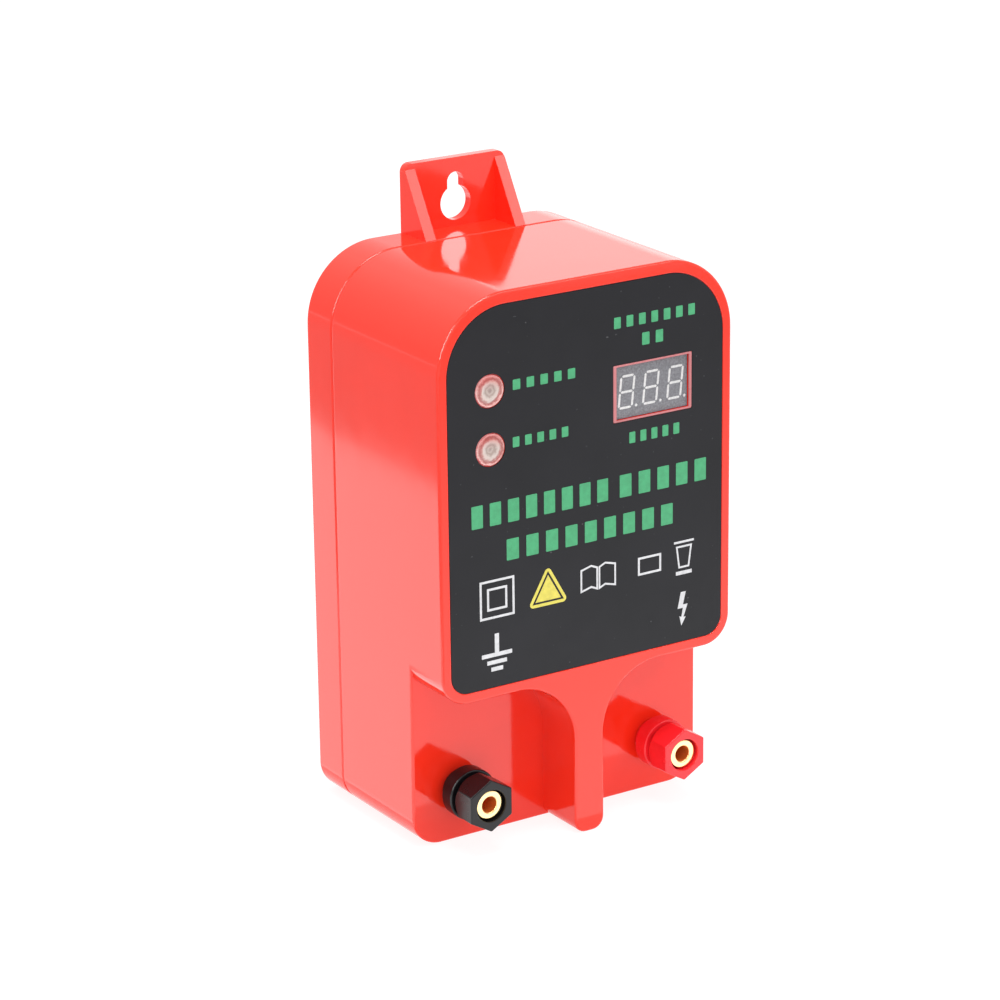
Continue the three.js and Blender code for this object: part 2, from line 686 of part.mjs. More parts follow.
function mainBoard() {
  const middleZ = (BOARD.bottom + BOARD.top) / 2;
  const middleY = (BOARD.frontY + BOARD_REAR_Y) / 2;
  const fromY = BOARD.frontY - OVERRUN;
  const toY = BOARD_REAR_Y + OVERRUN;
  const sheet = box(0, middleY, middleZ, 2 * BOARD.half, BOARD.thickness, BOARD.top - BOARD.bottom);
  const cuts = [];
  for (const [x, z] of boardScrewPlaces()) {
    cuts.push(rodY(x, z, BOARD_SCREW.shank + 0.4, fromY, toY, SMALL_ROUND));
  }
  for (const z of [LAMP.powerZ, LAMP.shockZ]) {
    for (const side of [-1, 1]) {
      cuts.push(rodY(LAMP.x + side * LAMP_LEG.x, z, LAMP_LEG.radius + 0.35, fromY, toY, 6));
    }
  }
  for (const row of [-1, 1]) {
    const slotWidth = DISPLAY_PINS.perRow * DISPLAY_PINS.pitch;
    cuts.push(box(DISPLAY.x, middleY, DISPLAY.z + row * DISPLAY_PINS.rowZ, slotWidth, 2 * OVERRUN + 2, 1.2));
  }
  for (const side of [-1, 1]) {
    const tabX = side * (PULSE.width / 2 + GAP + 0.4);
    cuts.push(box(tabX, middleY, PULSE.z, 1.6, 2 * OVERRUN + 2, 6.8));
  }
  return piece('main_board', cut(sheet, ...cuts), 'boardGreen');
}

function boardScrews() {
  const shape = { ...BOARD_SCREW, headHeight: 1.6 };
  return boardScrewPlaces().map(([x, z], index) => {
    const screw = piece(`board_screw_${index + 1}`, screwBody(shape), 'zincSteel');
    screw.position.set(x, BOARD_REAR_Y + GAP, z);
    return screw;
  });
}

function rectangle(halfX, halfY) {
  const outline = new THREE.Shape();
  outline.moveTo(-halfX, -halfY);
  outline.lineTo(halfX, -halfY);
  outline.lineTo(halfX, halfY);
  outline.lineTo(-halfX, halfY);
  return outline;
}

function roundedRectangle(halfX, halfY, radius) {
  const outline = new THREE.Shape();
  outline.absarc(halfX - radius, radius - halfY, radius, -Math.PI / 2, 0);
  outline.absarc(halfX - radius, halfY - radius, radius, 0, Math.PI / 2);
  outline.absarc(radius - halfX, halfY - radius, radius, Math.PI / 2, Math.PI);
  outline.absarc(radius - halfX, radius - halfY, radius, Math.PI, 1.5 * Math.PI);
  return outline;
}

/** The transformer that makes the fence pulse: core, bobbin, winding and the frame that holds them. */
function pulseTransformer() {
  const halfStack = PULSE.stack / 2;
  const halfLeg = PULSE.leg / 2;
  const halfWindow = PULSE.windowHeight / 2;
  const windowX = halfLeg + PULSE.windowWidth / 2;
  const core = cut(
    box(0, 0, 0, PULSE.width, PULSE.stack, PULSE.height),
    box(-windowX, 0, 0, PULSE.windowWidth, PULSE.stack + OVERRUN, PULSE.windowHeight),
    box(windowX, 0, 0, PULSE.windowWidth, PULSE.stack + OVERRUN, PULSE.windowHeight),
  );

  const tube = 0.8;
  const flangeTop = halfWindow - GAP;
  const flangeX = halfLeg + PULSE.windowWidth - GAP;
  const flangeY = PULSE_WINDING_OUT + GAP;
  const tubeOuter = rectangle(halfLeg + GAP + tube, halfStack + GAP + tube);
  const bobbin = cut(
    join(
      prismZ(tubeOuter, -flangeTop, flangeTop),
      prismZ(roundedRectangle(flangeX, flangeY, 2), flangeTop - tube, flangeTop),
      prismZ(roundedRectangle(flangeX, flangeY, 2), -flangeTop, tube - flangeTop),
    ),
    prismZ(rectangle(halfLeg + GAP, halfStack + GAP), -flangeTop - OVERRUN, flangeTop + OVERRUN),
  );

  const windingTop = flangeTop - tube - GAP;
  const innerX = halfLeg + tube + 2 * GAP;
  const innerY = halfStack + tube + 2 * GAP;
  const winding = cut(
    prismZ(roundedRectangle(flangeX - GAP, PULSE_WINDING_OUT, 4), -windingTop, windingTop),
    prismZ(rectangle(innerX, innerY), -windingTop - OVERRUN, windingTop + OVERRUN),
  );

  const sheet = 0.8;
  const frameX = PULSE.width / 2 + GAP;
  const frameTop = PULSE.height / 2 + GAP;
  const tabLength = PULSE_Y - halfStack - BOARD.frontY + 1;
  const tabY = -halfStack - tabLength / 2 + 0.5;
  const frame = join(
    box(0, 0, frameTop + sheet / 2, 2 * (frameX + sheet), PULSE.stack, sheet),
    box(-frameX - sheet / 2, 0, sheet / 2, sheet, PULSE.stack, PULSE.height + 2 * GAP + sheet),
    box(frameX + sheet / 2, 0, sheet / 2, sheet, PULSE.stack, PULSE.height + 2 * GAP + sheet),
    box(-frameX - sheet / 2, tabY, 0, sheet, tabLength + 1, 5),
    box(frameX + sheet / 2, tabY, 0, sheet, tabLength + 1, 5),
  );

  const group = new THREE.Group();
  group.position.set(0, PULSE_Y, PULSE.z);
  group.add(
    piece('pulse_transformer_core', core, 'lamination'),
    piece('pulse_transformer_bobbin', bobbin, 'nylon'),
    piece('pulse_transformer_winding', winding, 'copper'),
    piece('pulse_transformer_frame', frame, 'zincSteel'),
  );
  return group;
}

function storageCapacitor() {
  const body = prismY(roundedRectangle(16, 10, 1.2), 0, 28);
  const mesh = piece('storage_capacitor', body, 'capacitorGrey');
  mesh.position.set(-9, BOARD_REAR_Y + GAP, 104.3);
  return mesh;
}

/** The small ferrite transformer that charges the storage capacitor. */
function converterTransformer() {
  const core = cut(
    box(0, 8, 0, 19, 6, 16),
    box(-5.6, 8, 0, 4, 7, 10.6),
    box(5.6, 8, 0, 4, 7, 10.6),
  );
  const winding = cut(
    prismZ(roundedRectangle(7.2, 7.4, 2), -5, 5).translate([0, 8, 0]),
    box(0, 8, 0, 7.8, 6.6, 12),
  );
  const group = new THREE.Group();
  group.position.set(20.5, BOARD_REAR_Y + GAP, 103);
  group.add(
    piece('converter_transformer_core', core, 'ferrite'),
    piece('converter_transformer_winding', winding, 'tapeYellow'),
  );
  return group;
}

/** The switch that dumps the stored charge, on its heat sink. */
function dischargeSwitch() {
  const thyristor = join(
    box(0, 5.5, 0, 10.2, 9, 4.4),
    box(0, 12.4, 1.55, 10.2, 6, 1.3),
    ...[-2.54, 0, 2.54].map((x) => box(x, 1, 0, 0.8, 2, 0.5)),
  );
  const fins = [-6, -2, 2, 6].map((x) => box(x, 9, 6.4, 1, 18, 6));
  const heatSink = join(box(0, 9, 3.3, 16, 18, 1.6), ...fins);
  const group = new THREE.Group();
  group.position.set(-12, BOARD_REAR_Y + GAP, 121);
  group.add(
    piece('discharge_thyristor', thyristor, 'chipBlack'),
    piece('thyristor_heat_sink', heatSink, 'aluminium'),
  );
  return group;
}

function supplyCapacitor() {
  const can = turnedY([
    [0, 0],
    [4.9, 0],
    [5, 0.6],
    [5, 1.6],
    [4.7, 2],
    [5, 2.4],
    [5, 15.6],
    [4.6, 16],
    [0, 16],
  ], SMALL_ROUND);
  const mesh = piece('supply_capacitor', can, 'sleeveBlue');
  mesh.position.set(3.5, BOARD_REAR_Y + GAP, 136);
  return mesh;
}

function controllerChip() {
  const legPitch = 2.54;
  const legsPerSide = 4;
  const legs = [];
  for (const row of [-1, 1]) {
    for (let i = 0; i < legsPerSide; i += 1) {
      const x = (i - (legsPerSide - 1) / 2) * legPitch;
      legs.push(box(x, 1.2, row * 3.5, 0.6, 2.4, 0.7));
    }
  }
  const mesh = piece('controller_chip', join(box(0, 2.6, 0, 9.6, 3.2, 6.4), ...legs), 'chipBlack');
  mesh.position.set(18, BOARD_REAR_Y + GAP, 134.5);
  return mesh;
}

/** An axial component lying along X, with its two legs bent down to the board. */
function axialPart(name, { radius, length, x, z, finish }) {
  const height = radius + 1;
  const legX = length / 2 + 2;
  const legRadius = 0.35;
  const body = turnedY(
    [
      [0, -length / 2],
      [radius * 0.85, -length / 2],
      [radius, -length / 2 + 0.4],
      [radius, length / 2 - 0.4],
      [radius * 0.85, length / 2],
      [0, length / 2],
    ],
    SMALL_ROUND,
  ).rotate([0, 0, 90]);
  const across = box(0, 0, 0, 2 * (legX + legRadius), 2 * legRadius, 2 * legRadius);
  const legs = [-legX, legX].map((at) => box(at, -height / 2, 0, 2 * legRadius, height, 2 * legRadius));
  const mesh = piece(name, join(body, across, ...legs), finish);
  mesh.position.set(x, BOARD_REAR_Y + GAP + height, z);
  return mesh;
}

function axialParts() {
  return [
    axialPart('charging_diode_1', { radius: 1.35, length: 5.2, x: -22, z: 137, finish: 'chipBlack' }),
    axialPart('charging_diode_2', { radius: 1.35, length: 5.2, x: -22, z: 132.5, finish: 'chipBlack' }),
    axialPart('bleed_resistor_1', { radius: 1.2, length: 6.3, x: -10, z: 140.5, finish: 'resistorTan' }),
    axialPart('bleed_resistor_2', { radius: 1.2, length: 6.3, x: 18, z: 142, finish: 'resistorTan' }),
  ];
}

// ---------------------------------------------------------------- leads

/** The high-voltage lead from the winding down to a terminal's lug. */
function terminalLead(name, side, finish) {
  const startY = PULSE_Y + PULSE_WINDING_OUT + GAP;
  const lugY = BAY_Y + WALL + 2 + GAP + 0.4;
  const lugTop = TERMINAL.z + 10;
  const x = side * TERMINAL.x;
  const route = [
    [side * 6, startY, 70],
    [side * 6, startY + 3, 69],
    [side * 8, startY + 4, 62],
    [side * 14, startY, 48],
    [side * 23, 2, 38],
    [side * 29, lugY + 2, 32],
    [x, lugY, lugTop + 2.5],
    [x, lugY, lugTop + GAP],
  ];
  return piece(name, wire(route, 1, 20), finish);
}

/** A supply lead from the jack up to the lower edge of the board. */
function supplyLead(name, startX, endX, finish) {
  const startZ = JACK.top + 3 + 2 * GAP;
  const route = [
    [startX, JACK.y, startZ],
    [startX, JACK.y, startZ + 3],
    [startX + 1.5, JACK.y - 1, 28],
    [endX - 2, -6, 39],
    [endX, -11.3, 47],
    [endX, -16, 51],
    [endX, BOARD_REAR_Y + 1.5, 52.2],
    [endX, BOARD_REAR_Y + 0.4, 52.2],
  ];
  return piece(name, wire(route, 0.8, 18), finish);
}

// ---------------------------------------------------------------- the whole energizer

const energizer = new THREE.Group();
energizer.name = 'fence_energizer';
energizer.add(
  frontHousing(),
  rearCover(),
  housingSeal(),
  ...coverScrews(),
  frontLabel(),
  lamp('power_lamp', LAMP.powerZ),
  lamp('shock_lamp', LAMP.shockZ),
  displayModule(),
  terminal('ground', -1, 'blackPlastic'),
  terminal('fence', 1, 'redKnob'),
  supplyJack(),
  mainBoard(),
  ...boardScrews(),
  pulseTransformer(),
  storageCapacitor(),
  converterTransformer(),
  dischargeSwitch(),
  supplyCapacitor(),
  controllerChip(),
  ...axialParts(),
  terminalLead('ground_lead', -1, 'blackWire'),
  terminalLead('fence_lead', 1, 'redWire'),
  supplyLead('supply_lead_positive', 0, 10.5, 'redWire'),
  supplyLead('supply_lead_negative', 3.4, 15.5, 'blackWire'),
);

export default energizer;
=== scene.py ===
"""The looks of a wall-hung electric fence energizer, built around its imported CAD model.

Everything is in metres, +Z up, in the CAD model's frame: the face looks along -Y and the wall is
on the +Y side.
"""

import math

import bmesh
import bpy
from mathutils import Matrix, Vector
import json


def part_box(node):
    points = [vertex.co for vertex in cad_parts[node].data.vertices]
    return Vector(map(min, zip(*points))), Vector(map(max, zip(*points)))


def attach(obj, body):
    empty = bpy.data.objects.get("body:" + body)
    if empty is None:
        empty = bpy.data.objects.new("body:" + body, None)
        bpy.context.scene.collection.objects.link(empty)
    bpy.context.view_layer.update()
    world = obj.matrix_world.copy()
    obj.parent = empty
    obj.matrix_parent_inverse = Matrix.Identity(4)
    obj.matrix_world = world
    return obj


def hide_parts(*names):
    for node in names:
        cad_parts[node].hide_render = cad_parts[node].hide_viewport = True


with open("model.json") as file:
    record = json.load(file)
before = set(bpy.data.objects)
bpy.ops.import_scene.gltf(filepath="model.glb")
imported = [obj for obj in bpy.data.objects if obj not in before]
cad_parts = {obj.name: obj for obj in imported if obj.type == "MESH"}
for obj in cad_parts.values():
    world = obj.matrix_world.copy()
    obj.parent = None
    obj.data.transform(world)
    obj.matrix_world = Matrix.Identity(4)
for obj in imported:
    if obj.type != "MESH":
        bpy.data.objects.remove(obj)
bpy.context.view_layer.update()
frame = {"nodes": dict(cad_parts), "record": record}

MM = 0.001


def centre_of(node):
    """The (x, z) centre of a CAD node."""
    low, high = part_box(node)
    return ((low.x + high.x) / 2, (low.z + high.z) / 2)


# ---------------- dimensions

HOUSING_LOW, HOUSING_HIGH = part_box("front_housing")
COVER_LOW, COVER_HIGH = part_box("rear_cover")
LABEL_LOW, LABEL_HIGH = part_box("front_label")
DISPLAY_LOW, DISPLAY_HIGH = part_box("display_module")
JACK_LOW, JACK_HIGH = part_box("supply_jack_body")
SEAL_END_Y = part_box("housing_seal")[1].y
BOARD_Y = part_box("main_board")[0].y

HALF_WIDTH = HOUSING_HIGH.x
CASE_HEIGHT = HOUSING_HIGH.z
FRONT_Y = HOUSING_LOW.y
REAR_Y = COVER_HIGH.y
HOUSING_END_Y = HOUSING_HIGH.y
SEAM = 0.3 * MM  # the open joint between housing and cover
COVER_START_Y = HOUSING_END_Y + SEAM
BAY_Y = FRONT_Y + 15.8 * MM
WALL = 2.8 * MM

CROWN_RADIUS = 20.4 * MM
FOOT_RADIUS = 8.5 * MM
BLOCK_FLOOR = 44.4 * MM
BLOCK_RADIUS = 8 * MM
RIB_HALF = 4.55 * MM
RIB_FOOT_RADIUS = 3.5 * MM
FLARE_RADIUS = 17.5 * MM

FACE_ROUND = 0.75 * MM  # rounding of the housing's front edge
BAY_ROUND = 0.7 * MM  # rounding of the bays' outer edge
SEAM_ROUND = 0.6 * MM
SEAM_DEPTH = 0.28 * MM  # from the case's surface in to the strip that fills the joint
BACK_ROUND = 1.0 * MM

ARC_STEPS = 20  # straight steps in a large quarter round
ROUND_STEPS = 5  # straight steps across a rounded edge
SIDES = 64  # sides of a round piece
SMALL_SIDES = 32

LABEL_CROWN = 17.4 * MM
LABEL_FOOT = 5 * MM
LABEL_RECESS = 0.5 * MM
LABEL_GAP = 0.12 * MM
INK_THICKNESS = 0.03 * MM
INK_EMBED = 0.01 * MM  # how far ink reaches into what it is printed on

TRIANGLE_FOOT = (-12.65, 19.0)  # in millimetres from the label's bottom centre
TRIANGLE_HALF = 6.3
TRIANGLE_HEIGHT = 11.0
TRIANGLE_ROUND = 1.0

DISPLAY_CENTRE = centre_of("display_module")
DISPLAY_SIZE = (DISPLAY_HIGH.x - DISPLAY_LOW.x, DISPLAY_HIGH.z - DISPLAY_LOW.z)
DISPLAY_WINDOW = (24.8 * MM, 15.5 * MM)
SEGMENT_HEIGHT = 8.4 * MM
SEGMENT_WIDTH = 4.1 * MM
SEGMENT_STROKE = 0.62 * MM
SEGMENT_GAP = 0.2 * MM
DIGIT_PITCH = 7.6 * MM
DIGIT_SLANT = math.tan(math.radians(6))
DIGIT_POINT = 0.38 * MM  # radius of the point after a digit

LAMP_CENTRES = {node: centre_of(node) for node in ("power_lamp", "shock_lamp")}
LAMP_RADIUS = 3.9 * MM
LAMP_BORE = 4 * MM  # radius of the hole in the housing
LAMP_HOLE = 4.45 * MM  # radius of the hole in the label
LAMP_FLANGE = 4.3 * MM  # radius of the lamp's thin front flange
LAMP_LEG_X = 1.27 * MM
LAMP_LEG_RADIUS = 0.3 * MM

KNOB_CORNER = 0.55 * MM
KNOB_FRONT_ROUND = 0.4 * MM
KNOB_MOUTH = 4.4 * MM  # radius of the opening round the post's ring
KNOB_INSERT_BORE = 4.1 * MM
KNOB_INSERT_DEPTH = 2.2 * MM
COLLAR_NECK = 5.4 * MM  # its radius
COLLAR_NECK_LENGTH = 2.1 * MM
COLLAR_ROUND = 0.45 * MM
COLLAR_BORE = 2.9 * MM
WALL_HOLE = 5 * MM  # radius of the hole for a terminal's bush

CLEARANCE = 0.3 * MM  # between inner parts that face each other
BOSS_RADIUS = 5.4 * MM  # of the bosses and sleeves round the cover's screws
BOSS_DROP = 3.15 * MM  # from the housing's rear end forward to its bosses
NOSE_RADIUS = 4.2 * MM  # of each sleeve's narrow end
NOSE_DROP = 2.85 * MM  # the same, to the sleeves' ends
BOARD_POST_RADIUS = 3 * MM
COVER_PILOT = 1.65 * MM
BOARD_PILOT = 1.3 * MM
SHANK_HOLE = 1.75 * MM
HEAD_HOLE = 3.5 * MM
HEAD_CHAMFER = 0.35 * MM

TAB_HALF = 15.5 * MM
TAB_THICKNESS = 2.6 * MM
TAB_CORNER = 2.4 * MM
GUSSET = 3.1 * MM
GUSSET_DROP = 0.6 * MM  # how far the gussets end below the tab's top
TAB_ROUND = 0.45 * MM
KEYHOLE_Z = 158.4 * MM
KEYHOLE_RADIUS = 4.7 * MM
KEYHOLE_SLOT_Z = 164.2 * MM
KEYHOLE_SLOT_RADIUS = 2.5 * MM


# ---------------- mesh helpers


def new_object(name, mesh):
    """A scene object from a bmesh, with its faces turned outwards."""
    bmesh.ops.recalc_face_normals(mesh, faces=mesh.faces)
    data = bpy.data.meshes.new(name)
    mesh.to_mesh(data)
    mesh.free()
    thing = bpy.data.objects.new(name, data)
    bpy.context.scene.collection.objects.link(thing)
    return thing


def bridge(mesh, near, far):
    """Quads between two closed rings of the same number of corners."""
    count = len(near)
    for i in range(count):
        after = (i + 1) % count
        mesh.faces.new((near[i], near[after], far[after], far[i]))


def add_plate(mesh, corners, front, back):
    """A flat plate between two depths, from its (x, z) corners."""
    near = [mesh.verts.new((x, front, z)) for x, z in corners]
    far = [mesh.verts.new((x, back, z)) for x, z in corners]
    bridge(mesh, near, far)
    mesh.faces.new(near)
    mesh.faces.new(far)


def layered(name, outline, layers):
    """A closed body whose section at each (inset, y) layer is outline(inset), seen from the front."""
    mesh = bmesh.new()
    rings = [[mesh.verts.new((x, y, z)) for x, z in outline(inset)] for inset, y in layers]
    for near, far in zip(rings, rings[1:]):
        bridge(mesh, near, far)
    mesh.faces.new(rings[0])
    mesh.faces.new(rings[-1])
    return new_object(name, mesh)


def prism(name, outline, from_y, to_y, inset=0):
    """A straight body between two depths."""
    return layered(name, outline, [(inset, from_y), (inset, to_y)])


def turned(name, profile, centre, sides=SIDES):
    """A piece turned about a line along Y through centre, from (radius, y) points.

    The points start and end on the line.
    """
    mesh = bmesh.new()
    cx, cz = centre
    rings = []
    for radius, y in profile:
        if radius == 0:
            rings.append([mesh.verts.new((cx, y, cz))])
            continue
        ring = []
        for i in range(sides):
            angle = 2 * math.pi * i / sides
            ring.append(mesh.verts.new((cx + radius * math.sin(angle), y, cz + radius * math.cos(angle))))
        rings.append(ring)
    for near, far in zip(rings, rings[1:]):
        if len(near) == 1 or len(far) == 1:
            tip = (near if len(near) == 1 else far)[0]
            ring = far if len(near) == 1 else near
            for i in range(sides):
                mesh.faces.new((tip, ring[i], ring[(i + 1) % sides]))
        else:
            bridge(mesh, near, far)
    return new_object(name, mesh)


def offsets(radius, y, *steps):
    """Points of a profile, from (radius, y) steps in millimetres off one place."""
    return [(radius + out * MM, y + back * MM) for out, back in steps]


def rod(name, centre, radius, from_y, to_y, sides=SMALL_SIDES):
    return turned(name, [(0, from_y), (radius, from_y), (radius, to_y), (0, to_y)], centre, sides)


def settle(piece):
    """Makes the result of the piece's modifiers its own mesh."""
    depsgraph = bpy.context.evaluated_depsgraph_get()
    finished = bpy.data.meshes.new_from_object(piece.evaluated_get(depsgraph))
    piece.modifiers.clear()
    rough = piece.data
    piece.data = finished
    bpy.data.meshes.remove(rough)


def combine(piece, operation, *tools):
    """Joins tools to piece, cuts them from it, or keeps what they share, and removes the tools."""
    for tool in tools:
        modifier = piece.modifiers.new(operation, "BOOLEAN")
        modifier.operation = operation
        modifier.solver = "MANIFOLD"
        modifier.object = tool
    settle(piece)
    for tool in tools:
        bpy.data.objects.remove(tool)
    return piece


def join(piece, *tools):
    return combine(piece, "UNION", *tools)


def cut(piece, *tools):
    return combine(piece, "DIFFERENCE", *tools)


def soften(piece, width, angle):
    """Rounds the piece's sharp edges."""
    bevel = piece.modifiers.new("round", "BEVEL")
    bevel.width = width
    bevel.segments = 3
    bevel.limit_method = "ANGLE"
    bevel.angle_limit = math.radians(angle)
    settle(piece)
    return piece


def shade(piece, angle=34):
    """Smooth shading that stays flat on flat faces and sharp at sharp edges."""
    piece.data.shade_smooth()
    piece.data.set_sharp_from_angle(angle=math.radians(angle))
    weighted = piece.modifiers.new("shade", "WEIGHTED_NORMAL")
    weighted.keep_sharp = True
    weighted.weight = 80


def edge_round(face_y, radius, into, steps=ROUND_STEPS):
    """The (inset, y) layers of a rounded edge, from the flat face at face_y on to the side."""
    layers = []
    for i in range(steps + 1):
        angle = math.pi / 2 * i / steps
        layers.append((radius * (1 - math.sin(angle)), face_y + into * radius * (1 - math.cos(angle))))
    return layers


def prism_layers(front_y, rear_y, front_round, rear_round):
    """The (inset, y) layers of a body with rounded ends. A round of 0 leaves the end square."""
    front = edge_round(front_y, front_round, 1) if front_round else [(0, front_y)]
    rear = edge_round(rear_y, rear_round, -1) if rear_round else [(0, rear_y)]
    return front + rear[::-1]


# ---------------- outlines seen from the front


def arc(cx, cz, radius, start, end, steps=ARC_STEPS):
    """Points on an arc, from start to end in degrees."""
    points = []
    for i in range(steps + 1):
        angle = math.radians(start + (end - start) * i / steps)
        points.append((cx + radius * math.cos(angle), cz + radius * math.sin(angle)))
    return points


def panel_outline(inset, half, bottom, top, crown, foot, cx=0, steps=ARC_STEPS):
    """An upright panel centred on cx with rounded corners, drawn in by inset all round."""
    half -= inset
    bottom += inset
    top -= inset
    crown -= inset
    foot -= inset
    return (
        arc(cx + half - foot, bottom + foot, foot, -90, 0, steps)
        + arc(cx + half - crown, top - crown, crown, 0, 90, steps)
        + arc(cx - half + crown, top - crown, crown, 90, 180, steps)
        + arc(cx - half + foot, bottom + foot, foot, 180, 270, steps)
    )


def body_outline(inset):
    return panel_outline(inset, HALF_WIDTH, 0, CASE_HEIGHT, CROWN_RADIUS, FOOT_RADIUS)


def block_outline(inset):
    """The deep block with the rib that hangs from it, flared on both sides."""
    half = HALF_WIDTH - inset
    crown = CROWN_RADIUS - inset
    crown_z = CASE_HEIGHT - CROWN_RADIUS
    corner = BLOCK_RADIUS - inset
    corner_z = BLOCK_FLOOR + BLOCK_RADIUS
    foot = RIB_FOOT_RADIUS - inset
    foot_x = RIB_HALF - RIB_FOOT_RADIUS
    flare = FLARE_RADIUS + inset
    flare_x = RIB_HALF + FLARE_RADIUS
    flare_z = BLOCK_FLOOR - FLARE_RADIUS
    return (
        arc(foot_x, RIB_FOOT_RADIUS, foot, -90, 0, 8)
        + arc(flare_x, flare_z, flare, 180, 90)
        + arc(half - corner, corner_z, corner, -90, 0)
        + arc(half - crown, crown_z, crown, 0, 90)
        + arc(crown - half, crown_z, crown, 90, 180)
        + arc(corner - half, corner_z, corner, 180, 270)
        + arc(-flare_x, flare_z, flare, 90, 0)
        + arc(-foot_x, RIB_FOOT_RADIUS, foot, 180, 270, 8)
    )


def label_outline(inset):
    return panel_outline(inset, LABEL_HIGH.x, LABEL_LOW.z, LABEL_HIGH.z, LABEL_CROWN, LABEL_FOOT)


def rounded_box(cx, cz, width, height, radius, steps=4):
    """An outline function for an upright rectangle with rounded corners."""

    def outline(inset):
        z = height / 2 - inset
        corner = max(radius - inset, 0.01 * MM)
        return panel_outline(0, width / 2 - inset, cz - z, cz + z, corner, corner, cx, steps)

    return outline


# ---------------- materials


class Nodes:
    """A small helper for building one material's nodes."""

    def __init__(self, name):
        self.material = bpy.data.materials.new(name)
        self.material.use_nodes = True
        self.tree = self.material.node_tree
        self.shader = self.tree.nodes["Principled BSDF"]
        self.place = self.add("ShaderNodeTexCoord").outputs["Object"]

    def add(self, kind, **settings):
        node = self.tree.nodes.new(kind)
        for key, value in settings.items():
            setattr(node, key, value)
        return node

    def link(self, source, target):
        self.tree.links.new(source, target)

    def feed(self, name, source):
        """Drives one of the shader's own sockets."""
        self.link(source, self.shader.inputs[name])

    def base_colour(self):
        """What drives the shader's colour so far."""
        return self.shader.inputs["Base Color"].links[0].from_socket

    def noise(self, scale, detail=3.0, roughness=0.5, stretch=None):
        """Noise over the piece, with scale in features a metre."""
        node = self.add("ShaderNodeTexNoise")
        node.inputs["Scale"].default_value = scale
        node.inputs["Detail"].default_value = detail
        node.inputs["Roughness"].default_value = roughness
        place = self.place
        if stretch:
            mapping = self.add("ShaderNodeMapping")
            mapping.inputs["Scale"].default_value = stretch
            self.link(place, mapping.inputs["Vector"])
            place = mapping.outputs["Vector"]
        self.link(place, node.inputs["Vector"])
        return node.outputs["Fac"]

    def spread(self, value, low, high, from_low=0.3, from_high=0.7):
        """A noise value spread over a range of its own."""
        node = self.add("ShaderNodeMapRange")
        node.inputs["From Min"].default_value = from_low
        node.inputs["From Max"].default_value = from_high
        node.inputs["To Min"].default_value = low
        node.inputs["To Max"].default_value = high
        self.link(value, node.inputs["Value"])
        return node.outputs["Result"]

    def blend(self, value, first, second):
        """A colour between two, by a value from 0 to 1."""
        node = self.add("ShaderNodeMix", data_type="RGBA")
        node.inputs["A"].default_value = (*first, 1)
        node.inputs["B"].default_value = (*second, 1)
        self.link(value, node.inputs["Factor"])
        return node.outputs["Result"]

    def over(self, value, under, colour, blend_type="MIX"):
        """A colour laid over what is under it, by a value from 0 to 1."""
        node = self.add("ShaderNodeMix", data_type="RGBA", blend_type=blend_type)
        node.inputs["B"].default_value = (*colour, 1)
        self.link(value, node.inputs["Factor"])
        self.link(under, node.inputs["A"])
        return node.outputs["Result"]

    def vector(self, operation, source, constant=(0, 0, 0), output="Vector"):
        node = self.add("ShaderNodeVectorMath", operation=operation)
        self.link(source, node.inputs[0])
        node.inputs[1].default_value = constant
        return node.outputs[output]

    def shades(self, value, colour, low, high):
        """Shades of one colour, by a noise value."""
        return self.blend(self.spread(value, 0, 1), tint(colour, low), tint(colour, high))

    def bump(self, *layers):
        """Bump from (height, distance, strength) layers, the first one lowest."""
        normal = None
        for height, distance, strength in layers:
            node = self.add("ShaderNodeBump")
            node.inputs["Distance"].default_value = distance
            node.inputs["Strength"].default_value = strength
            self.link(height, node.inputs["Height"])
            if normal:
                self.link(normal, node.inputs["Normal"])
            normal = node.outputs["Normal"]
        self.feed("Normal", normal)

    def fixed(self, **values):
        """Constant values, set on the shader's own sockets."""
        for key, value in values.items():
            self.shader.inputs[key.replace("_", " ")].default_value = value


BRASS = (0.93, 0.70, 0.34)


def tint(colour, factor):
    return tuple(min(1.0, c * factor) for c in colour)


def moulded_plastic(name, colour, roughness=0.2, wave=0.06, grain=0.02, shift=0.07):
    """Moulded plastic: a faint flow pattern in the colour, uneven polish and slightly wavy faces."""
    nodes = Nodes(name)
    nodes.feed("Base Color", nodes.shades(nodes.noise(38, 4, 0.6), colour, 1 - shift, 1 + shift))
    nodes.feed("Roughness", nodes.spread(nodes.noise(160, 5, 0.65), roughness * 0.8, roughness * 1.25))
    nodes.bump(
        (nodes.noise(22, 2, 0.4), 1.5 * MM, wave),
        (nodes.noise(5200, 2, 0.6), 0.04 * MM, grain),
    )
    nodes.fixed(IOR=1.5)
    return nodes


def metal(name, colour, roughness=0.25, lines=None, shift=0.06):
    """Plated or turned metal: fine scratches, uneven polish and a slight tarnish."""
    nodes = Nodes(name)
    nodes.feed("Base Color", nodes.shades(nodes.noise(420, 5, 0.6), colour, 1 - shift, 1 + shift))
    nodes.feed("Roughness", nodes.spread(nodes.noise(900, 4, 0.6), roughness * 0.7, roughness * 1.4))
    nodes.bump((nodes.noise(2600, 3, 0.7, lines), 0.03 * MM, 0.25))
    nodes.fixed(Metallic=1.0)
    return nodes


def knob_plastic(name, colour, index):
    """Plastic of a hand-turned knob: scuffed and less even than the case."""
    nodes = moulded_plastic(name, colour, 0.24, 0.05, 0.06, 0.25)
    nodes.fixed(IOR=index)
    return nodes.material


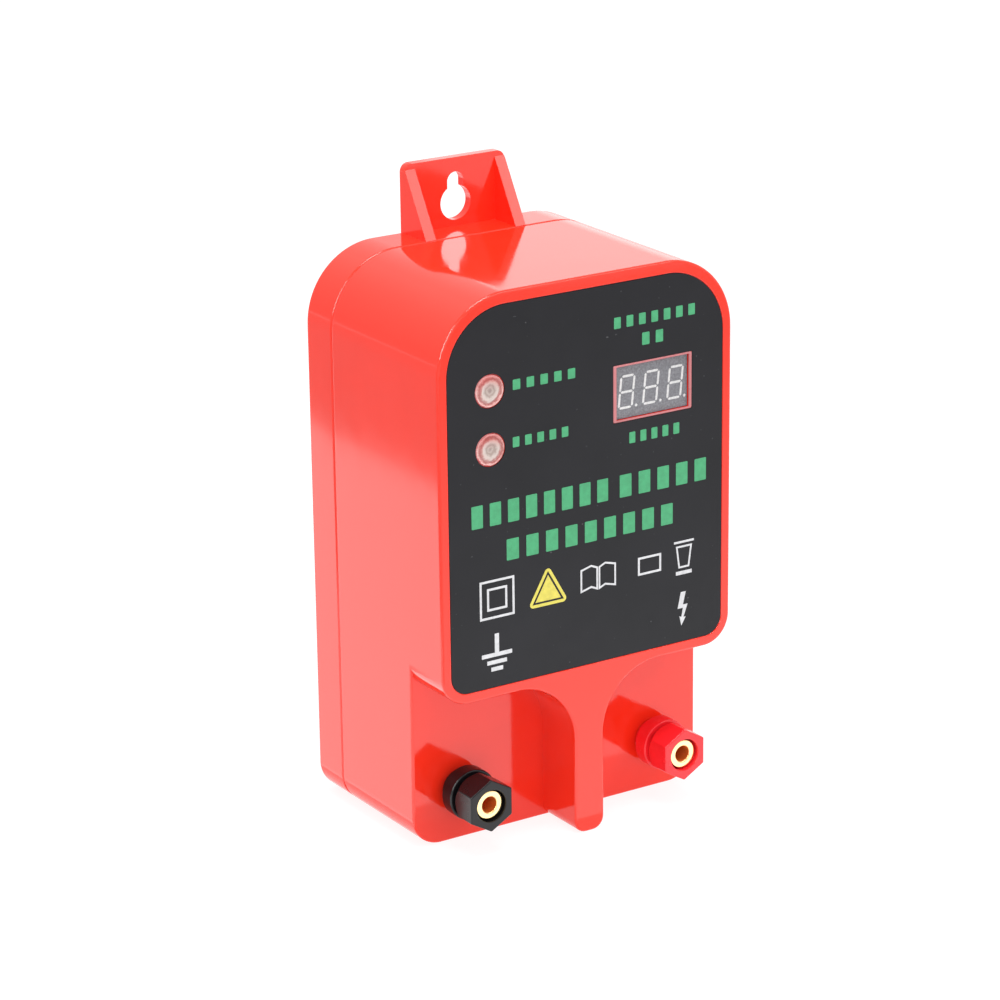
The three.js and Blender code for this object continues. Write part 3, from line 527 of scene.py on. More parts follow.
def face_film():
    """Printed film: satin, a little blue, with a fine grain and a few specks of dust."""
    nodes = Nodes("face film")
    cloud = nodes.noise(30, 3, 0.5)
    ground = nodes.blend(nodes.spread(cloud, 0, 1), (0.0058, 0.0058, 0.0078), (0.0098, 0.0096, 0.0128))
    speck = nodes.spread(nodes.noise(900, 1, 0.5), 0, 1, 0.76, 0.82)
    nodes.feed("Base Color", nodes.over(speck, ground, (0.07, 0.07, 0.075)))
    nodes.feed("Roughness", nodes.spread(nodes.noise(260, 4), 0.36, 0.46))
    nodes.bump((nodes.noise(40, 2), 0.4 * MM, 0.05), (nodes.noise(6500, 2), 0.02 * MM, 0.10))
    nodes.fixed(IOR=1.32)
    return nodes.material


def ink(name, colour):
    nodes = Nodes(name)
    nodes.feed("Base Color", nodes.shades(nodes.noise(700, 4, 0.6), colour, 0.86, 1.08))
    nodes.feed("Roughness", nodes.spread(nodes.noise(300, 3), 0.4, 0.52))
    nodes.bump((nodes.noise(4800, 2), 0.02 * MM, 0.12))
    return nodes.material


def radial(nodes, centre):
    """Distance from a line along Y through centre, in millimetres."""
    cx, cz = centre
    shift = nodes.vector("SUBTRACT", nodes.place, (cx, 0, cz))
    flat = nodes.vector("MULTIPLY", shift, (1 / MM, 0, 1 / MM))
    return nodes.vector("LENGTH", flat, output="Value")


def lamp_lens(centre):
    """A clear lens over a pale reflector, with a painted reflection of the red case in its upper part and a
    painted highlight round its rim.
    """
    nodes = Nodes("lamp lens")
    deep_centre = (centre[0] + 0.3 * MM, centre[1] - 0.15 * MM)
    reach = nodes.spread(radial(nodes, deep_centre), -0.275, 0.725, 0, LAMP_FLANGE / MM)
    for scale, share in ((1300, 0.30), (230, 0.25)):
        mottle = nodes.add("ShaderNodeMath", operation="MULTIPLY_ADD")
        mottle.inputs[1].default_value = share
        nodes.link(nodes.noise(scale, 3, 0.6), mottle.inputs[0])
        nodes.link(reach, mottle.inputs[2])
        reach = mottle.outputs["Value"]
    ramp = nodes.add("ShaderNodeValToRGB")
    # The pale pink stops at 0.87 and 0.93 are a painted highlight round the lens's rim.
    stops = [
        (0.04, (0.30, 0.22, 0.20)),
        (0.18, (0.46, 0.37, 0.33)),
        (0.30, (0.33, 0.25, 0.22)),
        (0.45, (0.54, 0.45, 0.41)),
        (0.57, (0.58, 0.45, 0.41)),
        (0.67, (0.46, 0.20, 0.18)),
        (0.78, (0.38, 0.10, 0.09)),
        (0.87, (0.62, 0.30, 0.28)),
        (0.93, (0.72, 0.42, 0.40)),
        (0.98, (0.48, 0.09, 0.09)),
    ]
    elements = ramp.color_ramp.elements
    while len(elements) < len(stops):
        elements.new(0.5)
    for element, (position, colour) in zip(elements, stops):
        element.position = position
        element.color = (*colour, 1)
    nodes.link(reach, ramp.inputs["Fac"])
    height = nodes.add("ShaderNodeSeparateXYZ")
    nodes.link(nodes.place, height.inputs[0])
    # Painted reflection of the red case: the lens's colour is multiplied redder towards its top.
    upper = nodes.spread(height.outputs["Z"], 0, 0.9, centre[1], centre[1] + LAMP_FLANGE)
    painted_reflection = nodes.over(upper, ramp.outputs["Color"], (0.95, 0.26, 0.24), "MULTIPLY")
    nodes.feed("Base Color", painted_reflection)
    nodes.feed("Roughness", nodes.spread(nodes.noise(500, 3), 0.06, 0.16))
    nodes.bump((nodes.noise(900, 4, 0.7), 0.14 * MM, 0.35))
    nodes.fixed(Coat_Weight=0.6, Coat_Roughness=0.05)
    return nodes.material


def display_plastic(name, colour, shift):
    """The display's printed plastic, with a fine grain in its colour."""
    nodes = moulded_plastic(name, colour, 0.34, 0.02, 0.05, 0.06)
    grain = nodes.spread(nodes.noise(3200, 2, 0.6), 1 - shift, 1 + shift, 0.35, 0.65)
    scaled = nodes.add("ShaderNodeVectorMath", operation="SCALE")
    nodes.link(nodes.base_colour(), scaled.inputs[0])
    nodes.link(grain, scaled.inputs["Scale"])
    nodes.feed("Base Color", scaled.outputs["Vector"])
    return nodes.material


def brass(centre):
    """Turned brass, painted orange and less metallic down the bore round that centre, for the light that
    bounces inside it.
    """
    nodes = metal("turned brass", BRASS, 0.16, (1, 14, 1))
    # Painted light: the bore is tinted orange and made less metallic in place of the light that bounces
    # inside it.
    bore = nodes.spread(radial(nodes, centre), 1, 0, 2.12, 2.3)
    nodes.feed("Base Color", nodes.over(bore, nodes.base_colour(), (0.88, 0.27, 0.05)))
    nodes.feed("Metallic", nodes.spread(bore, 1.0, 0.5, 0, 1))
    return nodes.material


def board_mask():
    """Solder mask over faint tracks."""
    nodes = Nodes("solder mask")
    track = nodes.spread(nodes.noise(240, 1, 0.3, (1, 1, 3)), 0, 1, 0.48, 0.52)
    nodes.feed("Base Color", nodes.blend(track, (0.018, 0.10, 0.045), (0.035, 0.20, 0.09)))
    nodes.feed("Roughness", nodes.spread(nodes.noise(200, 3), 0.22, 0.36))
    nodes.bump((track, 0.05 * MM, 0.5))
    return nodes.material


def slot_material(slot, colour):
    """The material of a slot that only the case's inside and fasteners use."""
    if slot in ("nickel_plate", "zinc_screw", "heat_sink", "core_steel", "winding_copper"):
        return metal(slot.replace("_", " "), colour, 0.28, (1, 1, 12)).material
    if slot == "circuit_board":
        return board_mask()
    return moulded_plastic(slot.replace("_", " "), colour, 0.42, 0.02, 0.2, 0.12).material


MATERIALS = {
    "red_shell": moulded_plastic("red shell", (0.86, 0.027, 0.010), 0.09, 0.05, 0.015, 0.035).material,
    "face_label": face_film(),
    "display_face": display_plastic("display face", (0.165, 0.164, 0.180), 0.30),
    "red_knob": knob_plastic("red knob", (0.76, 0.016, 0.024), 1.45),
    "black_knob": knob_plastic("black knob", (0.0065, 0.0055, 0.0065), 1.36),
    "terminal_brass": metal("brass", BRASS, 0.2, (1, 14, 1)).material,
}


def dress(piece, material):
    piece.data.materials.clear()
    piece.data.materials.append(material)


def finish_cad_nodes():
    """Gives every CAD node the material of its slot in the record."""
    record = frame["record"]
    colours = {row["slot"]: row["base_color"][:3] for row in record["materials"]}
    for row in record["subparts"]:
        slot = row["material_slot"]
        if slot not in MATERIALS:
            MATERIALS[slot] = slot_material(slot, colours[slot])
        dress(frame["nodes"][row["node"]], MATERIALS[slot])


def place(piece, slot, *nodes, body="housing", material=None):
    """Dresses a finished piece, and lets it ride on its body and stand for its CAD nodes."""
    dress(piece, material or MATERIALS[slot])
    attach(piece, body)
    if nodes:
        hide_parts(*nodes)


# ---------------- front housing


def housing_shell():
    """The body and the deep block in front of it, hollowed to an even wall."""
    shell = layered("front_case", body_outline, prism_layers(BAY_Y, HOUSING_END_Y, BAY_ROUND, SEAM_ROUND))
    embed = 2 * MM
    block = layered("block", block_outline, edge_round(FRONT_Y, FACE_ROUND, 1) + [(0, BAY_Y + embed)])
    join(shell, block)
    body_hollow = prism("hollow", body_outline, BAY_Y + WALL, HOUSING_END_Y + embed, WALL)
    block_hollow = prism("hollow", block_outline, FRONT_Y + WALL, BAY_Y + WALL + embed, WALL)
    return cut(shell, body_hollow, block_hollow)


def label_recess():
    """The cutter of the label's shallow bed, with a rounded lip."""
    lip = 0.22 * MM

    def outline(inset):
        return label_outline(inset - LABEL_GAP)

    layers = [(-lip, FRONT_Y - WALL)]
    layers += [(-inset, y) for inset, y in edge_round(FRONT_Y, lip, 1)]
    layers.append((0, FRONT_Y + LABEL_RECESS))
    return layered("recess", outline, layers)


def housing_fittings():
    """The screw bosses and the board's posts inside the shell."""
    fittings = []
    for number in range(1, 5):
        centre = centre_of(f"cover_screw_{number}")
        start = (FRONT_Y if centre[1] > BLOCK_FLOOR else BAY_Y) + WALL / 2
        fittings.append(rod("boss", centre, BOSS_RADIUS, start, HOUSING_END_Y - BOSS_DROP))
        centre = centre_of(f"board_screw_{number}")
        fittings.append(rod("post", centre, BOARD_POST_RADIUS, FRONT_Y + WALL / 2, BOARD_Y - CLEARANCE))
    return fittings


def housing_holes():
    holes = []
    width, height = DISPLAY_SIZE
    play = 0.35 * MM
    beyond = FRONT_Y + WALL + MM
    window = rounded_box(*DISPLAY_CENTRE, width + play, height + play, 0.15 * MM)
    holes.append(prism("window", window, FRONT_Y - WALL, beyond))
    for centre in LAMP_CENTRES.values():
        holes.append(rod("lamp hole", centre, LAMP_BORE, FRONT_Y - WALL, beyond, SIDES))
    for side in ("ground", "fence"):
        centre = centre_of(f"{side}_terminal_post")
        holes.append(rod("wall hole", centre, WALL_HOLE, BAY_Y - WALL, BAY_Y + 2 * WALL))
    for number in range(1, 5):
        screw = f"cover_screw_{number}"
        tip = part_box(screw)[0].y
        holes.append(rod("pilot", centre_of(screw), COVER_PILOT, tip - MM, HOUSING_END_Y, 16))
        centre = centre_of(f"board_screw_{number}")
        holes.append(rod("pilot", centre, BOARD_PILOT, FRONT_Y + WALL, BOARD_Y, 16))
    return holes


def upright(name, centre, radius, bottom, top):
    """A round rod along Z."""
    mesh = bmesh.new()
    bmesh.ops.create_cone(
        mesh, cap_ends=True, segments=SIDES, radius1=radius, radius2=radius, depth=top - bottom
    )
    bmesh.ops.translate(mesh, verts=mesh.verts, vec=(*centre, (top + bottom) / 2))
    return new_object(name, mesh)


def jack_seat():
    """The thick seat of the supply jack, and the pocket and hole through it."""
    centre = ((JACK_LOW.x + JACK_HIGH.x) / 2, (JACK_LOW.y + JACK_HIGH.y) / 2)
    pocket = 7.5 * MM
    barrel = 4.2 * MM
    depth = 3 * MM
    seat = upright("seat", centre, pocket + 2 * MM, WALL / 2, depth + WALL)
    hollow = upright("pocket", centre, pocket, -WALL, depth)
    hole = upright("hole", centre, barrel, 0, depth + 2 * WALL)
    return seat, hollow, hole


def front_housing():
    shell = housing_shell()
    cut(shell, label_recess())
    seat, pocket, jack_hole = jack_seat()
    join(shell, seat, *housing_fittings())
    cut(shell, pocket, jack_hole, *housing_holes())
    shade(shell)
    place(shell, "red_shell", "front_housing")


# ---------------- rear cover


def hanging_tab():
    """The tab with its keyhole and its two gussets, with softened edges."""
    root = CASE_HEIGHT - WALL / 2
    plate_outline = panel_outline(0, TAB_HALF, root, COVER_HIGH.z, TAB_CORNER, 0.5 * MM)
    tab = prism("tab", lambda inset: plate_outline, REAR_Y - TAB_THICKNESS, REAR_Y)
    gusset_top = COVER_HIGH.z - GUSSET_DROP
    side_view = [
        (COVER_START_Y + 0.2 * MM, root),
        (COVER_START_Y + 0.2 * MM, CASE_HEIGHT),
        (REAR_Y - TAB_THICKNESS * 0.8, gusset_top),
        (REAR_Y - TAB_THICKNESS * 0.3, gusset_top),
        (REAR_Y - TAB_THICKNESS * 0.3, root),
    ]
    trim_end = REAR_Y - TAB_THICKNESS / 4
    for side in (-1, 1):
        mesh = bmesh.new()
        faces = (side * (TAB_HALF + MM), side * (TAB_HALF - GUSSET))
        rings = [[mesh.verts.new((x, y, z)) for y, z in side_view] for x in faces]
        bridge(mesh, *rings)
        for ring in rings:
            mesh.faces.new(ring)
        trim = prism("trim", lambda inset: plate_outline, COVER_START_Y, trim_end)
        join(tab, combine(new_object("gusset", mesh), "INTERSECT", trim))
    slot_height = KEYHOLE_SLOT_Z - KEYHOLE_Z
    from_y = REAR_Y - TAB_THICKNESS - MM
    to_y = REAR_Y + MM
    hole = rod("keyhole", (0, KEYHOLE_Z), KEYHOLE_RADIUS, from_y, to_y, SIDES)
    slot_top = rod("slot", (0, KEYHOLE_SLOT_Z), KEYHOLE_SLOT_RADIUS, from_y, to_y, SIDES)
    middle = rounded_box(0, KEYHOLE_Z + slot_height / 2, 2 * KEYHOLE_SLOT_RADIUS, slot_height, 0.02 * MM, 1)
    slot = prism("slot", middle, from_y, to_y)
    join(hole, slot_top, slot)
    cut(tab, hole)
    return soften(tab, TAB_ROUND, 30)


def cover_lip():
    """The lip that slips inside the front housing."""
    thickness = 1.3 * MM
    reach = 2.4 * MM
    inset = WALL + CLEARANCE
    start = COVER_START_Y
    lip = prism("lip", body_outline, start - reach, start + WALL, inset)
    foot = prism("foot", body_outline, SEAL_END_Y + CLEARANCE, start + WALL, WALL / 2)
    join(lip, foot)
    strip = prism("strip", body_outline, HOUSING_END_Y + 0.05 * MM, start + SEAM_ROUND, SEAM_DEPTH)
    join(lip, strip)
    hollow = prism("hollow", body_outline, start - 2 * reach, start + 2 * WALL, inset + thickness)
    return cut(lip, hollow)


def rear_cover():
    cover = layered("back_case", body_outline, prism_layers(COVER_START_Y, REAR_Y, SEAM_ROUND, BACK_ROUND))
    hollow = prism("hollow", body_outline, COVER_START_Y - WALL, REAR_Y - WALL, WALL)
    cut(cover, hollow)
    join(cover, cover_lip(), hanging_tab())
    sleeves = []
    holes = []
    for number in range(1, 5):
        centre = centre_of(f"cover_screw_{number}")
        sleeves.append(rod("sleeve", centre, BOSS_RADIUS, COVER_START_Y, REAR_Y - WALL / 2))
        sleeves.append(rod("sleeve", centre, NOSE_RADIUS, HOUSING_END_Y - NOSE_DROP, COVER_START_Y + MM))
        holes.append(rod("shank hole", centre, SHANK_HOLE, COVER_LOW.y - MM, REAR_Y, 16))
        seat_y = REAR_Y - WALL - CLEARANCE
        mouth = HEAD_HOLE + HEAD_CHAMFER
        holes.append(turned("head hole", [
            (0, seat_y), (HEAD_HOLE, seat_y), (HEAD_HOLE, REAR_Y - HEAD_CHAMFER),
            (mouth, REAR_Y), (mouth, REAR_Y + MM), (0, REAR_Y + MM),
        ], centre))
    join(cover, *sleeves)
    cut(cover, *holes)
    shade(cover)
    place(cover, "red_shell", "rear_cover")


# ---------------- face


def face_label():
    layers = edge_round(LABEL_LOW.y, 0.06 * MM, 1, 2) + [(0, LABEL_HIGH.y)]
    label = layered("face_film", label_outline, layers)
    from_y = LABEL_LOW.y - MM
    to_y = LABEL_HIGH.y + MM
    window = rounded_box(*DISPLAY_CENTRE, *DISPLAY_WINDOW, 0.4 * MM)
    holes = [prism("window", window, from_y, to_y)]
    for centre in LAMP_CENTRES.values():
        holes.append(rod("hole", centre, LAMP_HOLE, from_y, to_y, SIDES))
    cut(label, *holes)
    shade(label)
    place(label, "face_label", "front_label")


class Print:
    """Flat ink on the label, as thin plates in one mesh.

    Places are in millimetres from the label's bottom centre.
    """

    def __init__(self, name, material, level=0):
        self.name = name
        self.material = material
        self.mesh = bmesh.new()
        self.front = LABEL_LOW.y - INK_THICKNESS * (level + 1)
        self.back = LABEL_LOW.y - INK_THICKNESS * level + INK_EMBED

    def plate(self, points):
        corners = [(x * MM, LABEL_LOW.z + z * MM) for x, z in points]
        add_plate(self.mesh, corners, self.front, self.back)

    def bar(self, x0, z0, x1, z1, radius=0.3):
        outline = rounded_box((x0 + x1) / 2, (z0 + z1) / 2, x1 - x0, z1 - z0, radius, 3)
        self.plate(outline(0))

    def outline_box(self, x0, z0, x1, z1, width):
        self.closed_line([(x0, z0), (x1, z0), (x1, z1), (x0, z1)], width)

    def closed_line(self, points, width):
        """A closed line of even width, as one plate for each side, mitred at the corners."""
        corners = [Vector(point) for point in points]
        sides = []
        for i, corner in enumerate(corners):
            following = corners[(i + 1) % len(corners)]
            before = (corner - corners[i - 1]).normalized()
            after = (following - corner).normalized()
            along = (before + after).normalized()
            reach = width / 2 / along.dot(before)
            across = Vector((-along.y, along.x)) * reach
            sides.append((corner + across, corner - across))
        for (a_left, a_right), (b_left, b_right) in zip(sides, sides[1:] + sides[:1]):
            self.plate([a_left, a_right, b_right, b_left])

    def word(self, x0, z0, x1, z1, count, fill=0.54):
        """A row of plain blocks where a word stands: no letters, only its length and height."""
        pitch = (x1 - x0) / (count - 1 + fill)
        for i in range(count):
            start = x0 + i * pitch
            self.bar(start, z0, start + fill * pitch, z1, 0.25)

    def done(self):
        place(new_object(self.name, self.mesh), "face_label", material=self.material)


def printing():
    """Everything printed on the label: plain blocks for the words, and simple generic marks."""
    green = Print("green_print", ink("green ink", (0.046, 0.335, 0.142)))
    green.word(8.05, 89.3, 33.3, 92.3, 7)
    green.word(16.75, 83.7, 23.3, 87, 2)
    green.word(-22.75, 78.5, -3.9, 81.2, 5)
    green.word(-22.95, 63.4, -6.1, 66.1, 5)
    green.word(12.75, 58.0, 28.5, 61.0, 5)
    green.word(-35.55, 43.8, 6.1, 49.9, 8, 0.62)
    green.word(9.75, 43.8, 37.1, 49.9, 5, 0.62)
    green.word(-25.15, 33.6, 26.5, 39.3, 9, 0.62)
    green.done()

    white = Print("white_print", ink("white ink", (0.62, 0.62, 0.64)))
    double_square(white, (-28.2, 24.05))
    book(white, (2.95, 20.4))
    white.outline_box(15.75, 21.5, 22.55, 25.9, 0.6)
    white.bar(26.95, 27.6, 33.35, 28.2, 0.1)
    white.closed_line([(27.85, 26.6), (28.65, 20.9), (31.65, 20.9), (32.45, 26.6)], 0.5)
    white.bar(27.6, 18.8, 32.7, 19.8, 0.1)
    white.plate([
        (29.2, 13.9), (30.8, 13.9), (29.9, 10.3), (31.4, 10.3), (30.1, 6.8), (30.8, 6.8),
        (29.4, 4.5), (28.8, 7.2), (29.4, 6.9), (29.9, 9.4), (28.2, 9.4),
    ])
    earth_mark(white, (-28.45, 4.45))
    white.done()

    yellow = Print("yellow_print", ink("yellow ink", (0.68, 0.59, 0.085)))
    yellow.plate(rounded_corners(triangle(0), TRIANGLE_ROUND))
    yellow.done()
    dark = Print("dark_print", MATERIALS["face_label"], level=1)
    dark.closed_line(triangle(1.1), 0.5)
    dark.done()


def double_square(ink_print, centre):
    """The mark for double insulation: one square in another."""
    cx, cz = centre
    for half in (4.95, 2.75):
        ink_print.outline_box(cx - half, cz - half, cx + half, cz + half, 0.62)


def book(ink_print, foot):
    """The mark for a manual: two open pages."""
    fold, foot_z = foot
    height = 5.8
    page = [(0.35, 0), (2.2, 0.8), (5.3, 0), (5.3, height), (2.2, height + 0.8), (0.35, height)]
    for side in (-1, 1):
        ink_print.closed_line([(fold + side * x, foot_z + z) for x, z in page], 0.5)


def earth_mark(ink_print, foot):
    """The mark for earth: an upright over three bars."""
    x, z = foot
    bar = 1.1
    highest = 3.9
    for half, rise in ((1.8, 0), (3.0, 1.9), (4.6, highest)):
        ink_print.bar(x - half, z + rise, x + half, z + rise + bar, 0.1)
    ink_print.bar(x - 0.65, z + highest + bar, x + 0.65, z + 10.15, 0.1)


def triangle(inset):
    """The corners of an upright triangle, drawn in by inset."""
    cx, base = TRIANGLE_FOOT
    slope = math.atan2(TRIANGLE_HEIGHT, TRIANGLE_HALF)
    shrink = inset / math.tan(slope / 2)
    top = base + TRIANGLE_HEIGHT - inset / math.cos(slope)
    half = TRIANGLE_HALF - shrink
    return [(cx - half, base + inset), (cx + half, base + inset), (cx, top)]


def rounded_corners(corners, radius):
    """The outline of a shape with each corner rounded off."""
    points = []
    for i, corner in enumerate(corners):
        before = Vector(corners[i - 1]) - Vector(corner)
        after = Vector(corners[(i + 1) % len(corners)]) - Vector(corner)
        middle = (before.normalized() + after.normalized()).normalized()
        half_angle = before.angle(after) / 2
        centre = Vector(corner) + middle * radius / math.sin(half_angle)
        outward = math.degrees(math.atan2(-middle.y, -middle.x))
        sweep = 90 - math.degrees(half_angle)
        points += arc(centre.x, centre.y, radius, outward - sweep, outward + sweep, 5)
    return points


def segment(mesh, centre, start, end):
    """One bar of a digit, pointed at both ends and slanted with the digit."""
    ax, az = start
    bx, bz = end
    length = math.hypot(bx - ax, bz - az)
    ux, uz = (bx - ax) / length, (bz - az) / length
    half = SEGMENT_STROKE / 2
    near_end = SEGMENT_GAP
    far_end = length - SEGMENT_GAP
    outline = [(near_end, 0), (near_end + half, half), (far_end - half, half)]
    outline += [(far_end, 0), (far_end - half, -half), (near_end + half, -half)]
    display_plate(mesh, centre, [
        (ax + ux * distance - uz * aside, az + uz * distance + ux * aside) for distance, aside in outline
    ])


def display_plate(mesh, centre, points):
    """A thin plate on the display's face, slanted with the digit."""
    corners = [(centre[0] + x + z * DIGIT_SLANT, centre[1] + z) for x, z in points]
    add_plate(mesh, corners, DISPLAY_LOW.y - INK_THICKNESS, DISPLAY_LOW.y + INK_EMBED)


def display_digits():
    """Three unlit digits of seven bars, each with its point."""
    mesh = bmesh.new()
    right = SEGMENT_WIDTH / 2
    top = SEGMENT_HEIGHT / 2
    bars = [((-right, z), (right, z)) for z in (top, 0, -top)]
    bars += [((x, z), (x, z + top)) for z in (0, -top) for x in (-right, right)]
    for index in (-1, 0, 1):
        centre = (DISPLAY_CENTRE[0] + index * DIGIT_PITCH - 0.15 * MM, DISPLAY_CENTRE[1])
        for start, end in bars:
            segment(mesh, centre, start, end)
        point = arc(right + 1.35 * MM, -top + 0.1 * MM, DIGIT_POINT, 0, 330, 11)
        display_plate(mesh, centre, point)
    piece = new_object("display_digits", mesh)
    segments = display_plastic("display segment", (0.60, 0.59, 0.59), 0.15)
    place(piece, "display_face", material=segments)


def display_lip():
    """The pale lip round the display's window."""
    width, height = DISPLAY_WINDOW
    display_width, display_height = DISPLAY_SIZE
    margin = 0.15 * MM
    top = FRONT_Y + 0.05 * MM
    base = FRONT_Y + LABEL_RECESS - 0.02 * MM
    outline = rounded_box(*DISPLAY_CENTRE, width - margin, height - margin, 0.5 * MM)
    lip = layered("display_lip", outline, edge_round(top, 0.3 * MM, 1) + [(0, base)])
    window = rounded_box(*DISPLAY_CENTRE, display_width + 0.3 * MM, display_height + 0.3 * MM, 0.15 * MM)
    cut(lip, prism("window", window, top - MM, base + MM))
    shade(lip)
    pale = moulded_plastic("pale lip", (0.50, 0.16, 0.17), 0.3, 0.03, 0.1, 0.2).material
    place(lip, "red_shell", material=pale)


def lens_crown(tip):
    """The lens's front from its axis out: moulded rings, closer together towards the rim."""
    steps = 20
    reach = 4.2 * MM
    shallowest = 0.02 * MM
    swing = 0.16 * MM
    points = []
    for i in range(steps + 1):
        share = i / steps
        depth = shallowest + swing * (1 + math.cos(3 * math.pi * share ** 2))
        points.append((reach * share, tip + depth))
    return points


def lamps():
    """The round lamps, each with a thin flange in the label's hole and two legs to the board."""
    body_length = 8.1 * MM
    collar_length = 1.2 * MM
    flange = 0.09 * MM  # its thickness, and its depth behind the tip
    for node, centre in LAMP_CENTRES.items():
        low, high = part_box(node)
        tip = low.y
        collar_radius = (high.x - low.x) / 2
        base = tip + body_length
        collar_front = base - collar_length
        flange_front = tip + flange
        flange_back = flange_front + flange
        profile = lens_crown(tip)
        profile += [(LAMP_FLANGE, flange_front), (LAMP_FLANGE, flange_back)]
        profile += [(LAMP_RADIUS, flange_back), (LAMP_RADIUS, collar_front)]
        profile += [(collar_radius, collar_front), (collar_radius, base), (0, base)]
        lens = turned(node.replace("lamp", "lens"), profile, centre)
        for side in (-1, 1):
            leg_centre = (centre[0] + side * LAMP_LEG_X, centre[1])
            join(lens, rod("leg", leg_centre, LAMP_LEG_RADIUS, base - MM, high.y, 12))
        shade(lens, 50)
        place(lens, "lamp_lens", node, material=lamp_lens(centre))


# ---------------- terminals


def terminal_box(prefix, part):
    """The CAD node of a terminal's part, its box and its (x, z) centre."""
    node = f"{prefix}_terminal_{part}"
    return node, *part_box(node), centre_of(node)


def hexagon(centre, flat, corner_radius):
    """An outline function for a hexagon with corners up and down, slightly rounded."""
    cx, cz = centre

    def outline(inset):
        radius = max(corner_radius - inset, 0.02 * MM)
        reach = (flat - inset - radius) / math.cos(math.radians(30))
        points = []
        for i in range(6):
            angle = 90 + 60 * i
            x = cx + reach * math.cos(math.radians(angle))
            z = cz + reach * math.sin(math.radians(angle))
            points += arc(x, z, radius, angle - 30, angle + 30, 4)
        return points

    return outline


def knob(prefix, slot):
    """The six-sided knob, rounded off at the back and open round the post's ring."""
    node, low, high, centre = terminal_box(prefix, "knob")
    flat = (high.x - low.x) / 2
    outline = hexagon(centre, flat, KNOB_CORNER)
    piece = layered(f"{prefix}_knob", outline, prism_layers(low.y, high.y, KNOB_FRONT_ROUND, 0))
    corner = flat / math.cos(math.radians(30))
    back = [(0, low.y - MM), (corner + MM, low.y - MM)]
    back += offsets(corner, high.y, (1, -3.2), (0, -2.3))
    back += offsets(flat, high.y, (0.25, -1.2), (-0.1, -0.6), (-0.6, -0.1), (-0.9, 0))
    back.append((0, high.y))
    combine(piece, "INTERSECT", turned("envelope", back, centre))
    shoulder = high.y - KNOB_INSERT_DEPTH
    bore = [(0, low.y - MM)]
    bore += offsets(KNOB_MOUTH, low.y, (0.25, -1), (0.25, 0), (0.07, 0.08), (0, 0.25))
    bore += [(KNOB_MOUTH, shoulder), (KNOB_INSERT_BORE, shoulder)]
    bore += [(KNOB_INSERT_BORE, high.y + MM), (0, high.y + MM)]
    cut(piece, turned("bore", bore, centre))
    shade(piece, 28)
    place(piece, slot, node, body=f"{prefix}_knob")


def collar(prefix, slot):
    """The round collar behind the knob, held off the case by a narrower neck."""
    node, low, high, centre = terminal_box(prefix, "collar")
    radius = (high.x - low.x) / 2
    disc_back = high.y - COLLAR_NECK_LENGTH
    disc = prism_layers(low.y, disc_back, COLLAR_ROUND, COLLAR_ROUND)
    profile = [(0, low.y)] + [(radius - inset, y) for inset, y in disc]
    profile += [(COLLAR_NECK, disc_back), (COLLAR_NECK, high.y), (0, high.y)]
    piece = turned(f"{prefix}_collar", profile, centre)
    cut(piece, rod("bore", centre, COLLAR_BORE, low.y - MM, high.y + MM))
    shade(piece, 40)
    place(piece, slot, node)


def post(prefix):
    """The brass post: a ring round the plug's bore, and a threaded shank."""
    node, low, high, centre = terminal_box(prefix, "post")
    ring = (high.x - low.x) / 2
    bore = 2.1 * MM
    depth = 12 * MM
    thread = 2.6 * MM
    root = 2.2 * MM
    pitch = 0.8 * MM
    neck = low.y + 1.2 * MM
    profile = [(0, low.y + depth), (bore, low.y + depth)]
    profile += offsets(bore, low.y, (0, 0.5), (0.12, 0.2), (0.35, 0.04), (0.5, 0))
    profile += offsets(ring, low.y, (-0.35, 0), (-0.1, 0.08), (0, 0.3))
    profile += [(ring, neck), (root, neck)]
    turns = int((high.y - neck) / pitch) - 1
    for i in range(turns):
        start = neck + (i + 0.5) * pitch
        profile += [(root, start), (thread, start + pitch * 0.4), (thread, start + pitch * 0.5)]
    profile += [(root, high.y - 0.3 * MM), (root - 0.3 * MM, high.y), (0, high.y)]
    piece = turned(f"{prefix}_post", profile, centre)
    shade(piece, 40)
    place(piece, "terminal_brass", node, material=brass(centre))


def terminals():
    for prefix, slot in (("ground", "black_knob"), ("fence", "red_knob")):
        knob(prefix, slot)
        collar(prefix, slot)
        post(prefix)


# ---------------- screws in the back


def cover_screws():
    """Pan-head screws with a cross recess, each turned to a place of its own."""
    head_height = 1.8 * MM
    shank = 1.35 * MM
    point_length = 2.5 * MM
    plain_length = 4 * MM
    pitch = 1.4 * MM
    recess_depth = 1.1 * MM
    turn_step = 17
    for number in range(1, 5):
        node = f"cover_screw_{number}"
        low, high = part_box(node)
        centre = centre_of(node)
        head = (high.x - low.x) / 2
        crown = high.y
        seat = crown - head_height
        profile = [(0, low.y), (shank * 0.3, low.y + MM)]
        start = low.y + point_length
        profile.append((shank, start))
        while start + pitch < seat - plain_length:
            profile += [(shank - 0.3 * MM, start + 0.5 * pitch), (shank, start + pitch)]
            start += pitch
        profile += [(shank, seat)] + offsets(head, seat, (-0.1, 0), (0, 0.25))
        profile += [(head * 0.97, seat + 0.9 * MM), (head * 0.8, seat + 1.45 * MM)]
        profile += [(head * 0.5, crown - 0.06 * MM), (0, crown)]
        piece = turned(f"back_screw_{number}", profile, centre, SMALL_SIDES)
        for turn in (0, 90):
            arm = rounded_box(0, 0, head * 1.15, head * 0.26, 0.1 * MM, 2)
            layers = [(0.05 * MM, crown - recess_depth), (-0.05 * MM, crown + 0.3 * MM)]
            cutter = layered("recess", arm, layers)
            angle = math.radians(turn + turn_step * number)
            cutter.data.transform(Matrix.Rotation(angle, 4, "Y"))
            cutter.data.transform(Matrix.Translation((centre[0], 0, centre[1])))
            cut(piece, cutter)
        shade(piece, 40)
        place(piece, "zinc_screw", node)


# ---------------- camera, light and floor

